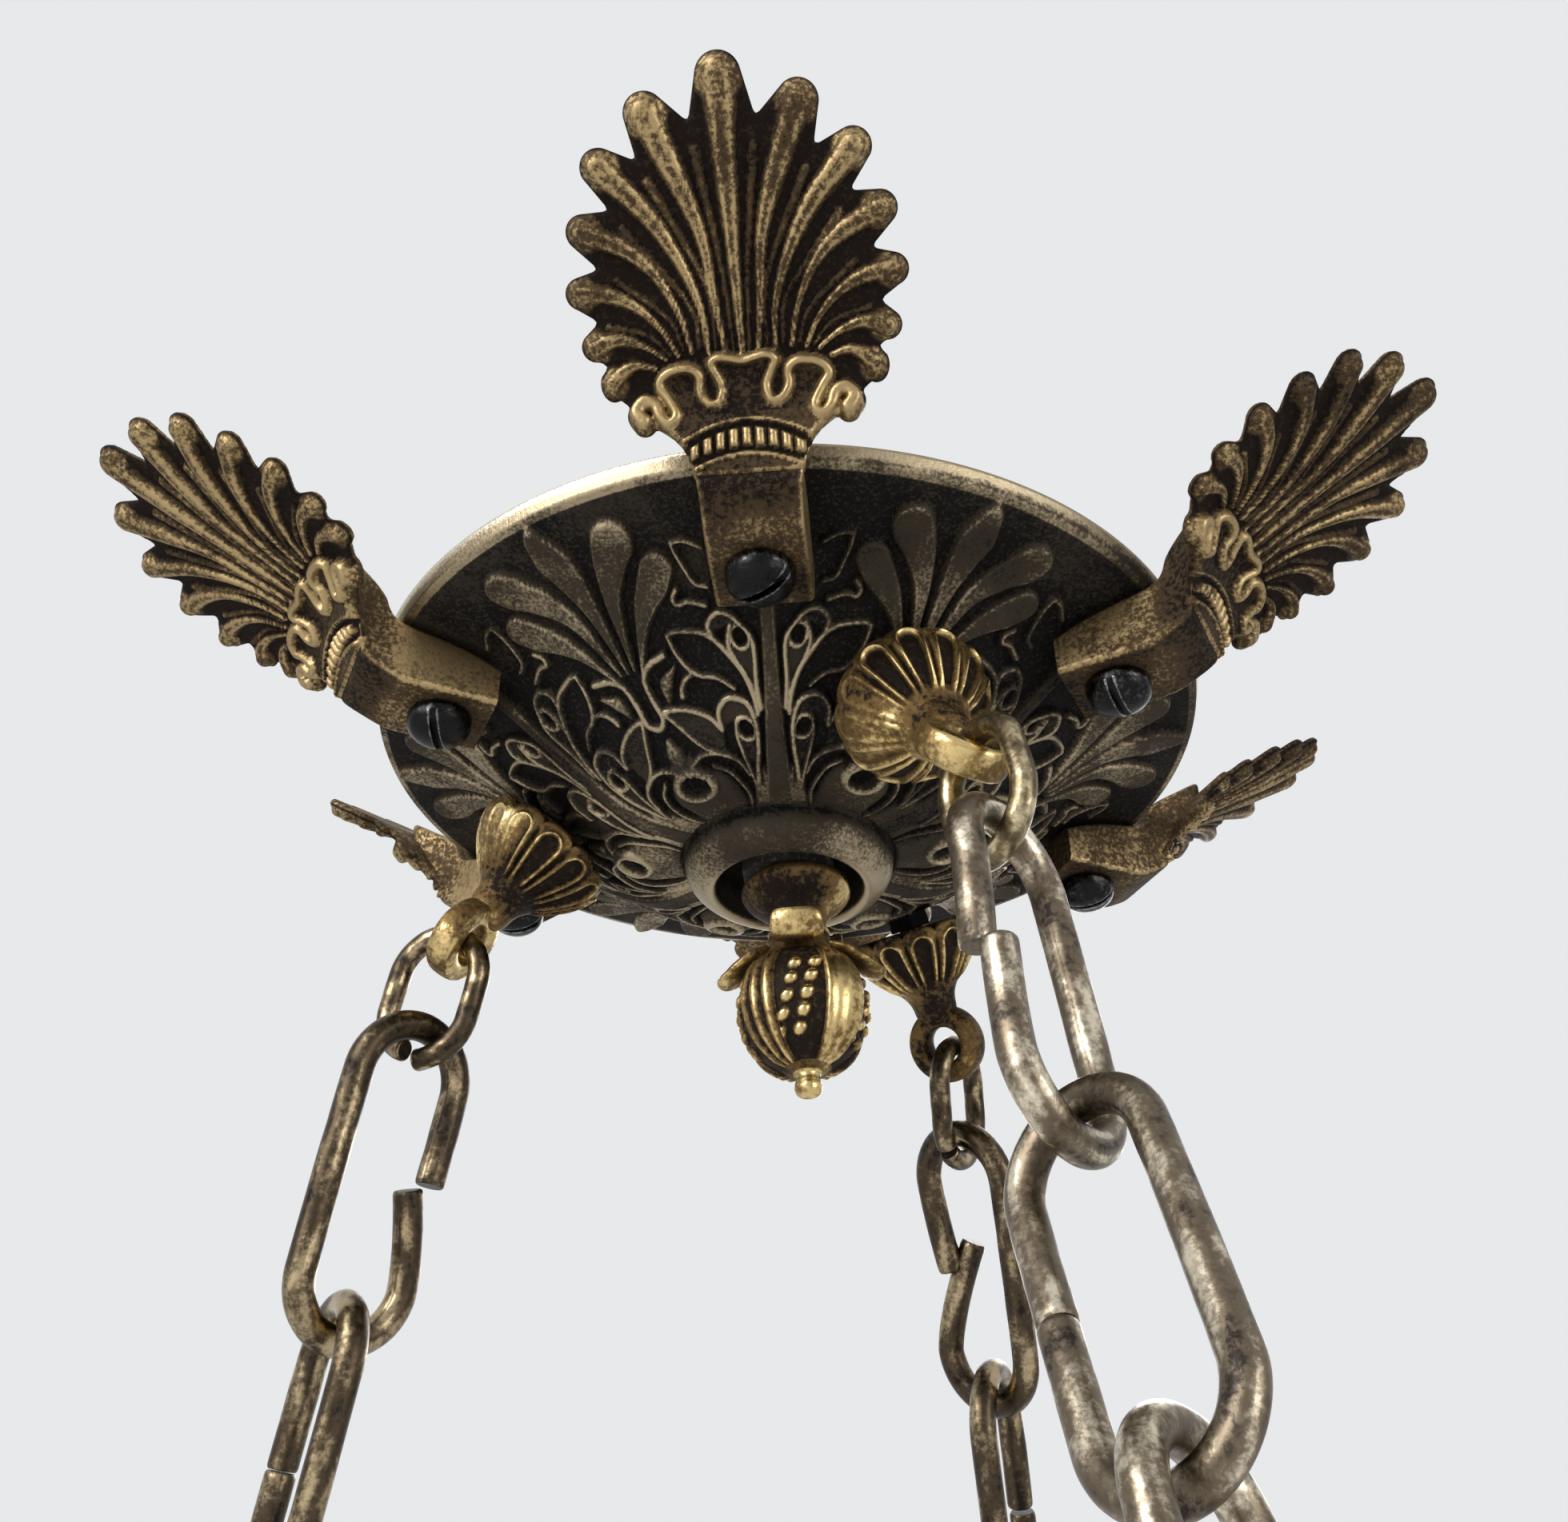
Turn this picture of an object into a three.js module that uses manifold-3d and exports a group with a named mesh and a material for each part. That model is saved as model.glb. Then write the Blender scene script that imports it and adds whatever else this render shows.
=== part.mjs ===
// Cast brass ceiling crown of a candle chandelier, with the three chains that hang from it.
// Millimetres, +Z up. The origin is the point inside the top loop that bears on a ceiling hook.
import * as THREE from 'three';
import { mergeVertices } from 'three/addons/utils/BufferGeometryUtils.js';
import Module from 'manifold-3d';

const wasm = await Module();
wasm.setup();

// Driving dimensions. Heights are measured from the lower edge of the dish's rim.
const GAP = 0.3;
const RIM_RADIUS = 80;
const DISH_WALL = 3;
const FIRST_BRACKET = -90;
const FIRST_CHAIN = -60;

// Brackets: a thick foot under the rim, screwed up through the dish, and a palmette above it.
const FOOT_UNDERSIDE = -14;
const FOOT_WIDTH = 16.4;
const SCREW_CIRCLE = 69.8;
const PALMETTE_SLOPE = 31.5;
const PALMETTE_FOOT = { r: 94, z: 3.7 };
const PALMETTE_THICK = 3.4;
const FAN_CENTRE = 4;
const FAN_STEP = 16.6;
const FAN_TIPS = [42.7, 40.2, 37.1, 32.8, 28.5, 25.2, 22.8, 21.2];
const FAN_NOTCHES = [34.6, 32.2, 28.8, 25.4, 23.2, 21.6, 19.8];
const FAN_REAR = { radius: 13, angles: [150, 210] };
const LOBE_SHOULDER = 0.27;
const LOBE_SQUARENESS = 2.6;

// How each bracket sits, in degrees: turned about its screw, with its palmette bent up or
// down, and swung sideways at the neck.
const NECK_RADIUS = 88;
const BRACKETS = [
  { turn: -1.5, bend: 1.9, swing: 0 },
  { turn: 6.5, bend: -0.5, swing: 0 },
  { turn: -3, bend: 0, swing: 0 },
  { turn: 0, bend: 8, swing: 0 },
  { turn: -7, bend: 4.5, swing: -7 },
  { turn: -2, bend: -4, swing: 0 },
];

// Screws and nuts.
const M6 = { shank: 2.9, hole: 3.2, across: 10, thick: 5 };
const M5 = { shank: 2.4, hole: 2.7, across: 8, thick: 4 };
const M10 = { shank: 4.8, hole: 5.1, across: 17, thick: 8 };
const SCREW_HEAD = { radius: 5.7, height: 3.7, slotWidth: 1.1, slotDepth: 1.7 };
const SCREW_LENGTH = 23;
const SCREW_SLOTS = { first: 58, step: 37 };
const BRACKET_NUT_SEAT = 2.9;
const HOLE_SIDES = 10;

// Chain cups: fluted bells whose axes lean outward, about square to the dish's cone.
const CUP_MOUTH = { r: 47.1, z: -20.2 };
const CUP_RADIUS = 13.8;
const CUP_FLUTES = 12;
const CUP_NECK = 4.5;
const FLUTE_DEPTH = 0.055;
const EYE = { centre: 24.5, hole: 3.6, halfHigh: 2.2, halfWide: 2.9 };
const CUP_TO_DISH = 5.3;
const STUD = { intoCup: 12.4, aboveWall: 6 };
const NUT_GAP = 0.6;

// Chain: a small split ring, then long links cut open in the middle of one side.
const RING = { wire: 4.2, inner: 19.4, width: 12.2, cut: 1.6 };
const LINK = { wire: 5.4, inner: 50, width: 15.2, cut: 1.4 };
const WIRE_SIDES = 7;
const BEND_STEPS = 6;
const LINK_GAP = 0.7;

// Each chain from its ring down. A piece is held outward and sideways from straight down, and
// twisted about its own length, in degrees. Its cut is at the bottom (0) or in one side (1, -1).
const CHAINS = [
  {
    cupLean: 37.5,
    pieces: [
      { outward: 14, sideways: 0, twist: -3, cut: 0 },
      { outward: 10, sideways: 1, twist: 67, cut: 1 },
      { outward: 24, sideways: -7, twist: -18, cut: 1 },
      { outward: 17, sideways: -3, twist: 68, cut: -1 },
    ],
  },
  {
    cupLean: 30.8,
    pieces: [
      { outward: 25, sideways: 13.5, twist: 0, cut: 0 },
      { outward: 29, sideways: 12, twist: 110, cut: -1 },
      { outward: 29, sideways: 12, twist: -8, cut: 1 },
      { outward: 27, sideways: 11, twist: 85, cut: -1 },
    ],
  },
  {
    cupLean: 35.7,
    pieces: [
      { outward: 12.7, sideways: -8.7, twist: 14, cut: 0 },
      { outward: 12.2, sideways: -11, twist: -53, cut: -1 },
      { outward: 12.2, sideways: -11, twist: 53, cut: 1 },
      { outward: 12, sideways: -11, twist: -40, cut: 1 },
    ],
  },
];

// Centre: threaded rod, its nuts, the finial below and the hanging loop above.
const ROD_SPIGOT = 3;
const SPIGOT_END = -50.4;
const FINIAL_LEAN = 2.3;
const FINIAL_SHIFT = 1.2;
const WASHER = { radius: 11, thick: 1.8 };
const LOWER_NUT_THICK = 5;
const RECESS_FLOOR = -25.5;
const FINIAL_TOP = -31.6;
const ACORN_TOP = -43.6;
const LEAF = { radius: 3.6, length: 9, flatness: 0.55, droop: 98, r: 11.2, z: -51.2 };
const LOOP = { radius: 15, wire: 6.4, centre: 36, hub: 8, hubTop: 22, hubBottom: 6, boreTop: 16.4 };
const HANG_HEIGHT = LOOP.centre + LOOP.radius - LOOP.wire / 2;

const degrees = THREE.MathUtils.degToRad;

// Finishes
const antiqueBrass = new THREE.MeshStandardMaterial({ color: 0x6b5230, roughness: 0.45, metalness: 0.9 });
const dishBronze = new THREE.MeshStandardMaterial({ color: 0x4a4033, roughness: 0.55, metalness: 0.85 });
const gildedBrass = new THREE.MeshStandardMaterial({ color: 0x9a6c2a, roughness: 0.35, metalness: 0.95 });
const chainBronze = new THREE.MeshStandardMaterial({ color: 0x6e6252, roughness: 0.4, metalness: 0.9 });
const blackSteel = new THREE.MeshStandardMaterial({ color: 0x26272a, roughness: 0.4, metalness: 0.8 });
const plainSteel = new THREE.MeshStandardMaterial({ color: 0x77756f, roughness: 0.45, metalness: 0.85 });

// Solids and meshes
function bracketAngle(i) {
  return degrees(FIRST_BRACKET + (i * 360) / BRACKETS.length);
}

function chainAngle(i) {
  return degrees(FIRST_CHAIN + (i * 360) / CHAINS.length);
}

function solidOf(geometry) {
  geometry.deleteAttribute('normal');
  geometry.deleteAttribute('uv');
  const merged = mergeVertices(geometry, 1e-4);
  const vertProperties = new Float32Array(merged.attributes.position.array);
  const triVerts = new Uint32Array(merged.index.array);
  return new wasm.Manifold(new wasm.Mesh({ numProp: 3, vertProperties, triVerts }));
}

function geometryOf(solid) {
  const { vertProperties, triVerts } = solid.getMesh();
  const geometry = new THREE.BufferGeometry();
  geometry.setAttribute('position', new THREE.BufferAttribute(vertProperties, 3));
  geometry.setIndex(new THREE.BufferAttribute(triVerts, 1));
  geometry.computeVertexNormals();
  return geometry;
}

function named(name, geometry, material) {
  const mesh = new THREE.Mesh(geometry, material);
  mesh.name = name;
  return mesh;
}

// A body of revolution about Z from a profile of [radius, height] pairs.
function turned(profile, segments) {
  const points = profile.map(([r, z]) => new THREE.Vector2(r, z));
  const geometry = new THREE.LatheGeometry(points, segments);
  geometry.rotateX(Math.PI / 2);
  return geometry;
}

// A cylinder along Z between two heights.
function rod(radius, low, high, segments = 14) {
  const geometry = new THREE.CylinderGeometry(radius, radius, high - low, segments);
  geometry.rotateX(Math.PI / 2);
  geometry.translate(0, 0, (low + high) / 2);
  return geometry;
}

// A hexagon nut along Z with a clear bore, its lower face at the given height.
function hexNut(size, low) {
  const corner = size.across / Math.sqrt(3);
  const body = solidOf(rod(corner, low, low + size.thick, 6));
  const bore = solidOf(rod(size.hole, low - 1, low + size.thick + 1, HOLE_SIDES));
  return geometryOf(body.subtract(bore));
}

// Dish: a shallow cast bowl with a plain rim and a raised ring round its centre.
const dishUnderside = [
  [13.9, RECESS_FLOOR],
  [13.9, -32.4],
  [14.9, -33.1],
  [17.2, -31.9],
  [19.0, -30.3],
  [19.9, -28.2],
  [19.9, -24.7],
  [28, -24.4],
  [33, -22.9],
  [38, -20.1],
  [55, -8.3],
  [59, -5.8],
  [62.5, -4.0],
  [67, -2.4],
  [RIM_RADIUS, 0],
];

const dishTop = [
  [RIM_RADIUS + 1, 3.4],
  [76.5, 3.4],
  [73, 1.8],
  [66.4, 0.7],
  [59.2, -2.3],
  [53.3, -5.8],
  [36.3, -17.6],
  [28.6, -21.2],
  [12, -22.4],
];

function crownDish() {
  const profile = [
    [M10.hole, RECESS_FLOOR],
    ...dishUnderside,
    ...dishTop,
    [M10.hole, RECESS_FLOOR + DISH_WALL],
    [M10.hole, RECESS_FLOOR],
  ];
  let dish = solidOf(turned(profile, 48));
  for (let i = 0; i < BRACKETS.length; i += 1) {
    const hole = rod(M6.hole, -10, 10, HOLE_SIDES);
    hole.translate(SCREW_CIRCLE, 0, 0);
    hole.rotateZ(bracketAngle(i));
    dish = dish.subtract(solidOf(hole));
  }
  for (let i = 0; i < CHAINS.length; i += 1) {
    const hole = rod(M5.hole, -16, 4, HOLE_SIDES);
    hole.rotateY(Math.PI - degrees(CHAINS[i].cupLean));
    hole.translate(CUP_MOUTH.r, 0, CUP_MOUTH.z);
    hole.rotateZ(chainAngle(i));
    dish = dish.subtract(solidOf(hole));
  }
  return geometryOf(dish);
}

// Side outline of a bracket's cast foot, knuckle and neck, as radius and height.
const bracketSide = [
  [61.5, FOOT_UNDERSIDE],
  [77.6, FOOT_UNDERSIDE],
  [81.6, -12.6],
  [85.2, -10.6],
  [88.2, -7.5],
  [89.8, -4.4],
  [92, -0.6],
  [96, 5.4],
  [96.4, 8.2],
  [93.2, 10.2],
  [88.4, 7.6],
  [84.4, 5.2],
  [82.3, 3.8],
  [81.8, -0.6],
  [73, -2.0],
  [67, -3.2],
  [61.5, -5.8],
];

// Half widths of the same body seen from below, from the foot outward.
const bracketPlan = [
  [61.5, FOOT_WIDTH / 2],
  [76, FOOT_WIDTH / 2],
  [84, 8.1],
  [88.3, 8.9],
  [89.7, 10],
  [91, 12.2],
  [92.6, 15],
  [97, 17],
];

function outlineSolid(points, depth) {
  const shape = new THREE.Shape(points.map(([x, y]) => new THREE.Vector2(x, y)));
  return new THREE.ExtrudeGeometry(shape, { depth, bevelEnabled: false });
}

// Outer radius of the palmette at a place counted in lobes from the middle one.
function fanRadius(lobes) {
  const place = Math.abs(lobes);
  const tip = Math.round(place);
  if (tip >= FAN_TIPS.length) {
    return FAN_TIPS[FAN_TIPS.length - 1] - 3;
  }
  const notch = FAN_NOTCHES[Math.min(Math.floor(place), FAN_NOTCHES.length - 1)];
  const away = Math.abs(place - tip) * 2;
  const round = Math.sqrt(Math.max(0, 1 - away ** LOBE_SQUARENESS));
  return notch + (FAN_TIPS[tip] - notch) * round;
}

// The palmette: a plate with rounded lobes and a ridge up the middle of each lobe.
// It lies along X with its front face down, before it is sloped.
function palmettePlate() {
  const stations = [];
  const lastLobe = FAN_TIPS.length - 1;
  for (let lobe = -lastLobe; lobe <= lastLobe; lobe += 1) {
    for (const part of [-LOBE_SHOULDER, 0, LOBE_SHOULDER, 0.5]) {
      const wanted = Math.abs(lobe) < 6 || Math.abs(part) !== LOBE_SHOULDER;
      if (wanted && (lobe < lastLobe || part < 0.5)) {
        const groove = part === 0.5 ? 1 : Math.abs(part) * 1.1;
        const place = lobe + part;
        stations.push({ angle: degrees(place * FAN_STEP), radius: fanRadius(place), groove });
      }
    }
  }
  for (const angle of FAN_REAR.angles) {
    stations.push({ angle: degrees(angle), radius: FAN_REAR.radius, groove: 0 });
  }
  const rings = [
    { reach: 0.8, crest: 0, depth: 1.5 },
    { reach: 1, crest: 0.8, depth: 0.9 },
  ];
  const positions = [FAN_CENTRE, 0, 0.2];
  for (const ring of rings) {
    for (const { angle, radius, groove } of stations) {
      const along = FAN_CENTRE + radius * ring.reach * Math.cos(angle);
      positions.push(along, radius * ring.reach * Math.sin(angle), ring.crest + ring.depth * groove);
    }
  }
  for (const { angle, radius } of stations) {
    positions.push(FAN_CENTRE + radius * Math.cos(angle), radius * Math.sin(angle), PALMETTE_THICK);
  }
  positions.push(FAN_CENTRE, 0, PALMETTE_THICK);
  const count = stations.length;
  const backCentre = positions.length / 3 - 1;
  const faces = [];
  for (let i = 0; i < count; i += 1) {
    const j = (i + 1) % count;
    faces.push(0, 1 + j, 1 + i);
    for (let ring = 0; ring < rings.length; ring += 1) {
      const a = 1 + ring * count;
      const b = a + count;
      faces.push(a + i, a + j, b + i, a + j, b + j, b + i);
    }
    faces.push(backCentre, backCentre - count + i, backCentre - count + j);
  }
  const geometry = new THREE.BufferGeometry();
  geometry.setAttribute('position', new THREE.Float32BufferAttribute(positions, 3));
  geometry.setIndex(faces);
  return geometry;
}

function palmetteBracket({ bend, swing }) {
  const side = outlineSolid(bracketSide, 44);
  side.translate(0, 0, -22);
  side.rotateX(Math.PI / 2);
  const mirrored = bracketPlan.map(([r, half]) => [r, -half]).reverse();
  const plan = outlineSolid([...bracketPlan, ...mirrored], 40);
  plan.translate(0, 0, -20);
  const hole = rod(M6.hole, -20, 5, HOLE_SIDES);
  hole.translate(SCREW_CIRCLE, 0, 0);
  const plate = palmettePlate();
  plate.rotateY(-degrees(PALMETTE_SLOPE));
  plate.translate(PALMETTE_FOOT.r - SCREW_CIRCLE, 0, PALMETTE_FOOT.z - FOOT_UNDERSIDE);
  plate.rotateY(-degrees(bend));
  plate.translate(SCREW_CIRCLE - NECK_RADIUS, 0, FOOT_UNDERSIDE);
  plate.rotateZ(degrees(swing));
  plate.translate(NECK_RADIUS, 0, 0);
  const body = solidOf(side).intersect(solidOf(plan)).subtract(solidOf(hole));
  return geometryOf(body.add(solidOf(plate)));
}

// A dome-headed slotted screw, head down, its seat at height 0.
function bracketScrew() {
  const { radius, height, slotWidth, slotDepth } = SCREW_HEAD;
  const profile = [
    [0, -height],
    [radius * 0.45, -height * 0.92],
    [radius * 0.8, -height * 0.62],
    [radius, -height * 0.2],
    [radius, 0],
    [M6.shank, 0],
    [M6.shank, SCREW_LENGTH],
    [0, SCREW_LENGTH],
  ];
  const slot = new THREE.BoxGeometry(3 * radius, slotWidth, 2 * slotDepth);
  slot.translate(0, 0, -height);
  return geometryOf(solidOf(turned(profile, 12)).subtract(solidOf(slot)));
}

// A fluted bell cup with an eye. The mouth is at height 0 and the eye points up +Z.
function chainCup() {
  const bell = [
    [0, 12.9],
    [M5.hole, 12.9],
    [M5.hole, 9],
    [10.4, 3],
    [12.2, 0],
    [CUP_RADIUS, 0],
    [CUP_RADIUS - 0.5, 2.4],
    [11.9, 5.6],
    [9.4, 8.8],
    [CUP_NECK, 14.2],
    [4.6, 17.2],
    [0, 19],
  ];
  const geometry = turned(bell, 2 * CUP_FLUTES);
  const position = geometry.attributes.position;
  for (let i = 0; i < position.count; i += 1) {
    const [x, y, z] = [position.getX(i), position.getY(i), position.getZ(i)];
    const outside = Math.hypot(x, y) > 12.4 - z * 0.62 && z < 13;
    if (outside) {
      const ripple = 1 - FLUTE_DEPTH * Math.cos(CUP_FLUTES * Math.atan2(y, x));
      position.setXY(i, x * ripple, y * ripple);
    }
  }
  const section = [];
  for (let i = 0; i <= 6; i += 1) {
    const turn = (i / 6) * 2 * Math.PI;
    const radius = EYE.hole + EYE.halfHigh - EYE.halfHigh * Math.cos(turn);
    section.push([radius, EYE.halfWide * Math.sin(turn)]);
  }
  section[6] = section[0];
  const eye = turned(section.reverse(), 14);
  eye.rotateY(Math.PI / 2);
  eye.translate(0, 0, EYE.centre);
  return geometryOf(solidOf(geometry).add(solidOf(eye)));
}

// Centre line of an open link in its XZ plane, as points with the outward direction at each.
// The link is cut at the bottom (0) or in one long side (1, -1).
function linkPath(size, cutSide) {
  const bend = (size.width + size.wire) / 2;
  const leg = (size.inner - size.width) / 2;
  const path = [];
  for (const [centre, first] of [[leg, 0], [-leg, Math.PI]]) {
    for (let i = 0; i <= BEND_STEPS; i += 1) {
      const turn = first + (i / BEND_STEPS) * Math.PI;
      path.push({ x: bend * Math.cos(turn), z: centre + bend * Math.sin(turn), turn });
    }
  }
  if (cutSide === 0) {
    const bottom = 1.5 * BEND_STEPS + 1;
    const gapTurn = size.cut / 2 / bend;
    const after = path.slice(bottom + 1);
    const before = path.slice(0, bottom);
    const ends = [1.5 * Math.PI + gapTurn, 1.5 * Math.PI - gapTurn].map((turn) => (
      { x: bend * Math.cos(turn), z: bend * Math.sin(turn) - leg, turn }
    ));
    return [ends[0], ...after, ...before, ends[1]];
  }
  const start = { x: bend, z: size.cut / 2, turn: 0 };
  const end = { x: bend, z: -size.cut / 2, turn: 0 };
  const open = [start, ...path, end];
  if (cutSide > 0) {
    return open;
  }
  return open.reverse().map(({ x, z, turn }) => ({ x: -x, z, turn: Math.PI - turn }));
}

function chainLink(size, cutSide) {
  const path = linkPath(size, cutSide);
  const positions = [];
  for (const { x, z, turn } of path) {
    for (let i = 0; i < WIRE_SIDES; i += 1) {
      const around = (i / WIRE_SIDES) * 2 * Math.PI;
      const out = (size.wire / 2) * Math.cos(around);
      const aside = (size.wire / 2) * Math.sin(around);
      positions.push(x + out * Math.cos(turn), aside, z + out * Math.sin(turn));
    }
  }
  const faces = [];
  for (let k = 0; k < path.length - 1; k += 1) {
    for (let i = 0; i < WIRE_SIDES; i += 1) {
      const a = k * WIRE_SIDES + i;
      const b = k * WIRE_SIDES + ((i + 1) % WIRE_SIDES);
      faces.push(a, b, a + WIRE_SIDES, b, b + WIRE_SIDES, a + WIRE_SIDES);
    }
  }
  const last = (path.length - 1) * WIRE_SIDES;
  for (let i = 1; i < WIRE_SIDES - 1; i += 1) {
    faces.push(0, i + 1, i, last, last + i, last + i + 1);
  }
  const geometry = new THREE.BufferGeometry();
  geometry.setAttribute('position', new THREE.Float32BufferAttribute(positions, 3));
  geometry.setIndex(faces);
  geometry.computeVertexNormals();
  return geometry;
}

// Finial: a domed flange with a turned neck, and an acorn with four curled leaf tips.
function finialNeck() {
  const profile = [
    [ROD_SPIGOT + GAP, FINIAL_TOP],
    [7.4, FINIAL_TOP],
    [9.7, -32.4],
    [10.3, -33.7],
    [9.4, -35.4],
    [6.9, -37.5],
    [5.3, -39.5],
    [4.9, -41.3],
    [5.5, -42.5],
    [5.5, ACORN_TOP + GAP],
    [ROD_SPIGOT + GAP, ACORN_TOP + GAP],
    [ROD_SPIGOT + GAP, FINIAL_TOP],
  ];
  return turned(profile.reverse(), 16);
}

function finialAcorn() {
  const profile = [
    [0, -74.4],
    [1.7, -74],
    [2.5, -72.4],
    [2.2, -70.6],
    [3, -69.9],
    [6.2, -68.4],
    [9.2, -65.4],
    [11.2, -61.6],
    [11.8, -57.6],
    [11.1, -53.6],
    [9, -50],
    [6.4, -47.4],
    [5.4, ACORN_TOP],
    [ROD_SPIGOT + GAP, ACORN_TOP],
    [ROD_SPIGOT + GAP, SPIGOT_END - 2 * GAP],
    [0, SPIGOT_END - 2 * GAP],
  ];
  let acorn = solidOf(turned(profile, 16));
  for (let i = 0; i < 4; i += 1) {
    const leaf = new THREE.ConeGeometry(LEAF.radius, LEAF.length, 6);
    leaf.scale(1, 1, LEAF.flatness);
    leaf.rotateZ(-degrees(LEAF.droop));
    leaf.rotateX(Math.PI / 2);
    leaf.translate(LEAF.r, 0, LEAF.z);
    leaf.rotateZ(degrees(FIRST_BRACKET + 90 * i));
    acorn = acorn.add(solidOf(leaf));
  }
  return geometryOf(acorn);
}

// Hanging loop: a closed ring on a hub that screws onto the rod.
function hangingLoop() {
  const section = [];
  for (let i = 0; i <= 8; i += 1) {
    const turn = (i / 8) * 2 * Math.PI;
    section.push([LOOP.radius - (LOOP.wire / 2) * Math.cos(turn), (LOOP.wire / 2) * Math.sin(turn)]);
  }
  section[8] = section[0];
  const ring = turned(section.reverse(), 20);
  ring.rotateX(Math.PI / 2);
  ring.translate(0, 0, LOOP.centre);
  const hubProfile = [
    [0, LOOP.boreTop + 0.8],
    [M10.hole, LOOP.boreTop],
    [M10.hole, LOOP.hubBottom],
    [LOOP.hub, LOOP.hubBottom],
    [LOOP.hub, LOOP.hubTop - 6],
    [4.6, LOOP.hubTop],
    [0, LOOP.hubTop + 1],
  ];
  return geometryOf(solidOf(turned(hubProfile, 16)).add(solidOf(ring)));
}

// The spigot that carries the finial is bent, so the finial stands off centre and leans to +X.
function leaned(geometry) {
  geometry.translate(0, 0, -FINIAL_TOP);
  geometry.rotateY(-degrees(FINIAL_LEAN));
  geometry.translate(FINIAL_SHIFT, 0, FINIAL_TOP);
  return geometry;
}

function centralRod() {
  const shank = solidOf(rod(M10.shank, FINIAL_TOP + GAP, LOOP.boreTop - 1));
  const spigot = solidOf(leaned(rod(ROD_SPIGOT, SPIGOT_END, FINIAL_TOP + 4)));
  return geometryOf(shank.add(spigot));
}

// Direction of a chain piece, and of its legs from each other, for a chain at angle 0.
function pieceDirections({ outward, sideways, twist }) {
  const down = new THREE.Vector3(Math.tan(degrees(outward)), Math.tan(degrees(sideways)), -1);
  down.normalize();
  const across = new THREE.Vector3(0, 1, 0).addScaledVector(down, -down.y).normalize();
  const legs = new THREE.Vector3().crossVectors(down, across).applyAxisAngle(down, degrees(twist));
  return { down, legs };
}

const object = new THREE.Group();
const crown = new THREE.Group();
crown.position.z = -HANG_HEIGHT;
object.add(crown);

crown.add(named('crown_dish', crownDish(), dishBronze));

// Brackets with their screws and nuts
for (let i = 0; i < BRACKETS.length; i += 1) {
  const place = new THREE.Group();
  place.rotation.z = bracketAngle(i);
  const bracket = named(`palmette_bracket_${i + 1}`, palmetteBracket(BRACKETS[i]), antiqueBrass);
  const screwAxis = new THREE.Vector3(SCREW_CIRCLE, 0, 0);
  bracket.rotation.z = degrees(BRACKETS[i].turn);
  bracket.position.copy(screwAxis).sub(screwAxis.clone().applyEuler(bracket.rotation));
  const screw = named(`bracket_screw_${i + 1}`, bracketScrew(), blackSteel);
  screw.position.set(SCREW_CIRCLE, 0, FOOT_UNDERSIDE - GAP);
  screw.rotation.z = degrees(SCREW_SLOTS.first + SCREW_SLOTS.step * i);
  const nut = named(`bracket_nut_${i + 1}`, hexNut(M6, 0), plainSteel);
  nut.position.set(SCREW_CIRCLE, 0, BRACKET_NUT_SEAT);
  place.add(bracket, screw, nut);
  crown.add(place);
}

// Cups and chains
for (let i = 0; i < CHAINS.length; i += 1) {
  const place = new THREE.Group();
  place.rotation.z = chainAngle(i);
  const lean = degrees(CHAINS[i].cupLean);
  const leaning = new THREE.Group();
  leaning.position.set(CUP_MOUTH.r, 0, CUP_MOUTH.z);
  leaning.rotation.y = Math.PI - lean;
  const wallTop = -CUP_TO_DISH - DISH_WALL;
  leaning.add(named(`chain_cup_${i + 1}`, chainCup(), gildedBrass));
  const stud = rod(M5.shank, wallTop - STUD.aboveWall, STUD.intoCup);
  leaning.add(named(`cup_stud_${i + 1}`, stud, plainSteel));
  leaning.add(named(`cup_lock_nut_${i + 1}`, hexNut(M5, NUT_GAP - CUP_TO_DISH), plainSteel));
  leaning.add(named(`cup_top_nut_${i + 1}`, hexNut(M5, wallTop - NUT_GAP - M5.thick), plainSteel));
  place.add(leaning);

  // Each piece hangs from the inside of the one above it, the ring from the cup's eye.
  const reach = EYE.centre + EYE.hole + EYE.halfHigh;
  const hold = new THREE.Vector3(Math.sin(lean), 0, -Math.cos(lean)).multiplyScalar(reach);
  hold.add(leaning.position);
  let above = EYE.halfWide;
  CHAINS[i].pieces.forEach((piece, j) => {
    const size = j === 0 ? RING : LINK;
    const { down, legs } = pieceDirections(piece);
    const up = down.clone().negate();
    const normal = new THREE.Vector3().crossVectors(up, legs);
    const name = j === 0 ? `split_ring_${i + 1}` : `chain_${i + 1}_link_${j}`;
    const link = named(name, chainLink(size, piece.cut), chainBronze);
    link.setRotationFromMatrix(new THREE.Matrix4().makeBasis(legs, normal, up));
    link.position.copy(hold).addScaledVector(down, size.inner / 2 - above);
    place.add(link);
    hold.copy(link.position).addScaledVector(down, (size.inner + size.wire) / 2);
    above = size.wire / 2 + LINK_GAP;
  });
  crown.add(place);
}

// Centre fittings
crown.add(named('central_rod', centralRod(), plainSteel));
const lowerNutSeat = RECESS_FLOOR - GAP - LOWER_NUT_THICK;
const lowerNut = hexNut({ ...M10, thick: LOWER_NUT_THICK }, lowerNutSeat);
crown.add(named('rod_lower_nut', lowerNut, plainSteel));
const washerLow = RECESS_FLOOR + DISH_WALL + 2 * GAP;
const washerHigh = washerLow + WASHER.thick;
const washer = solidOf(rod(WASHER.radius, washerLow, washerHigh, 24));
const washerBore = solidOf(rod(M10.hole, washerLow - 1, washerHigh + 1));
crown.add(named('rod_washer', geometryOf(washer.subtract(washerBore)), plainSteel));
crown.add(named('rod_top_nut', hexNut(M10, washerHigh + GAP), plainSteel));
crown.add(named('finial_neck', leaned(finialNeck()), gildedBrass));
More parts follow.
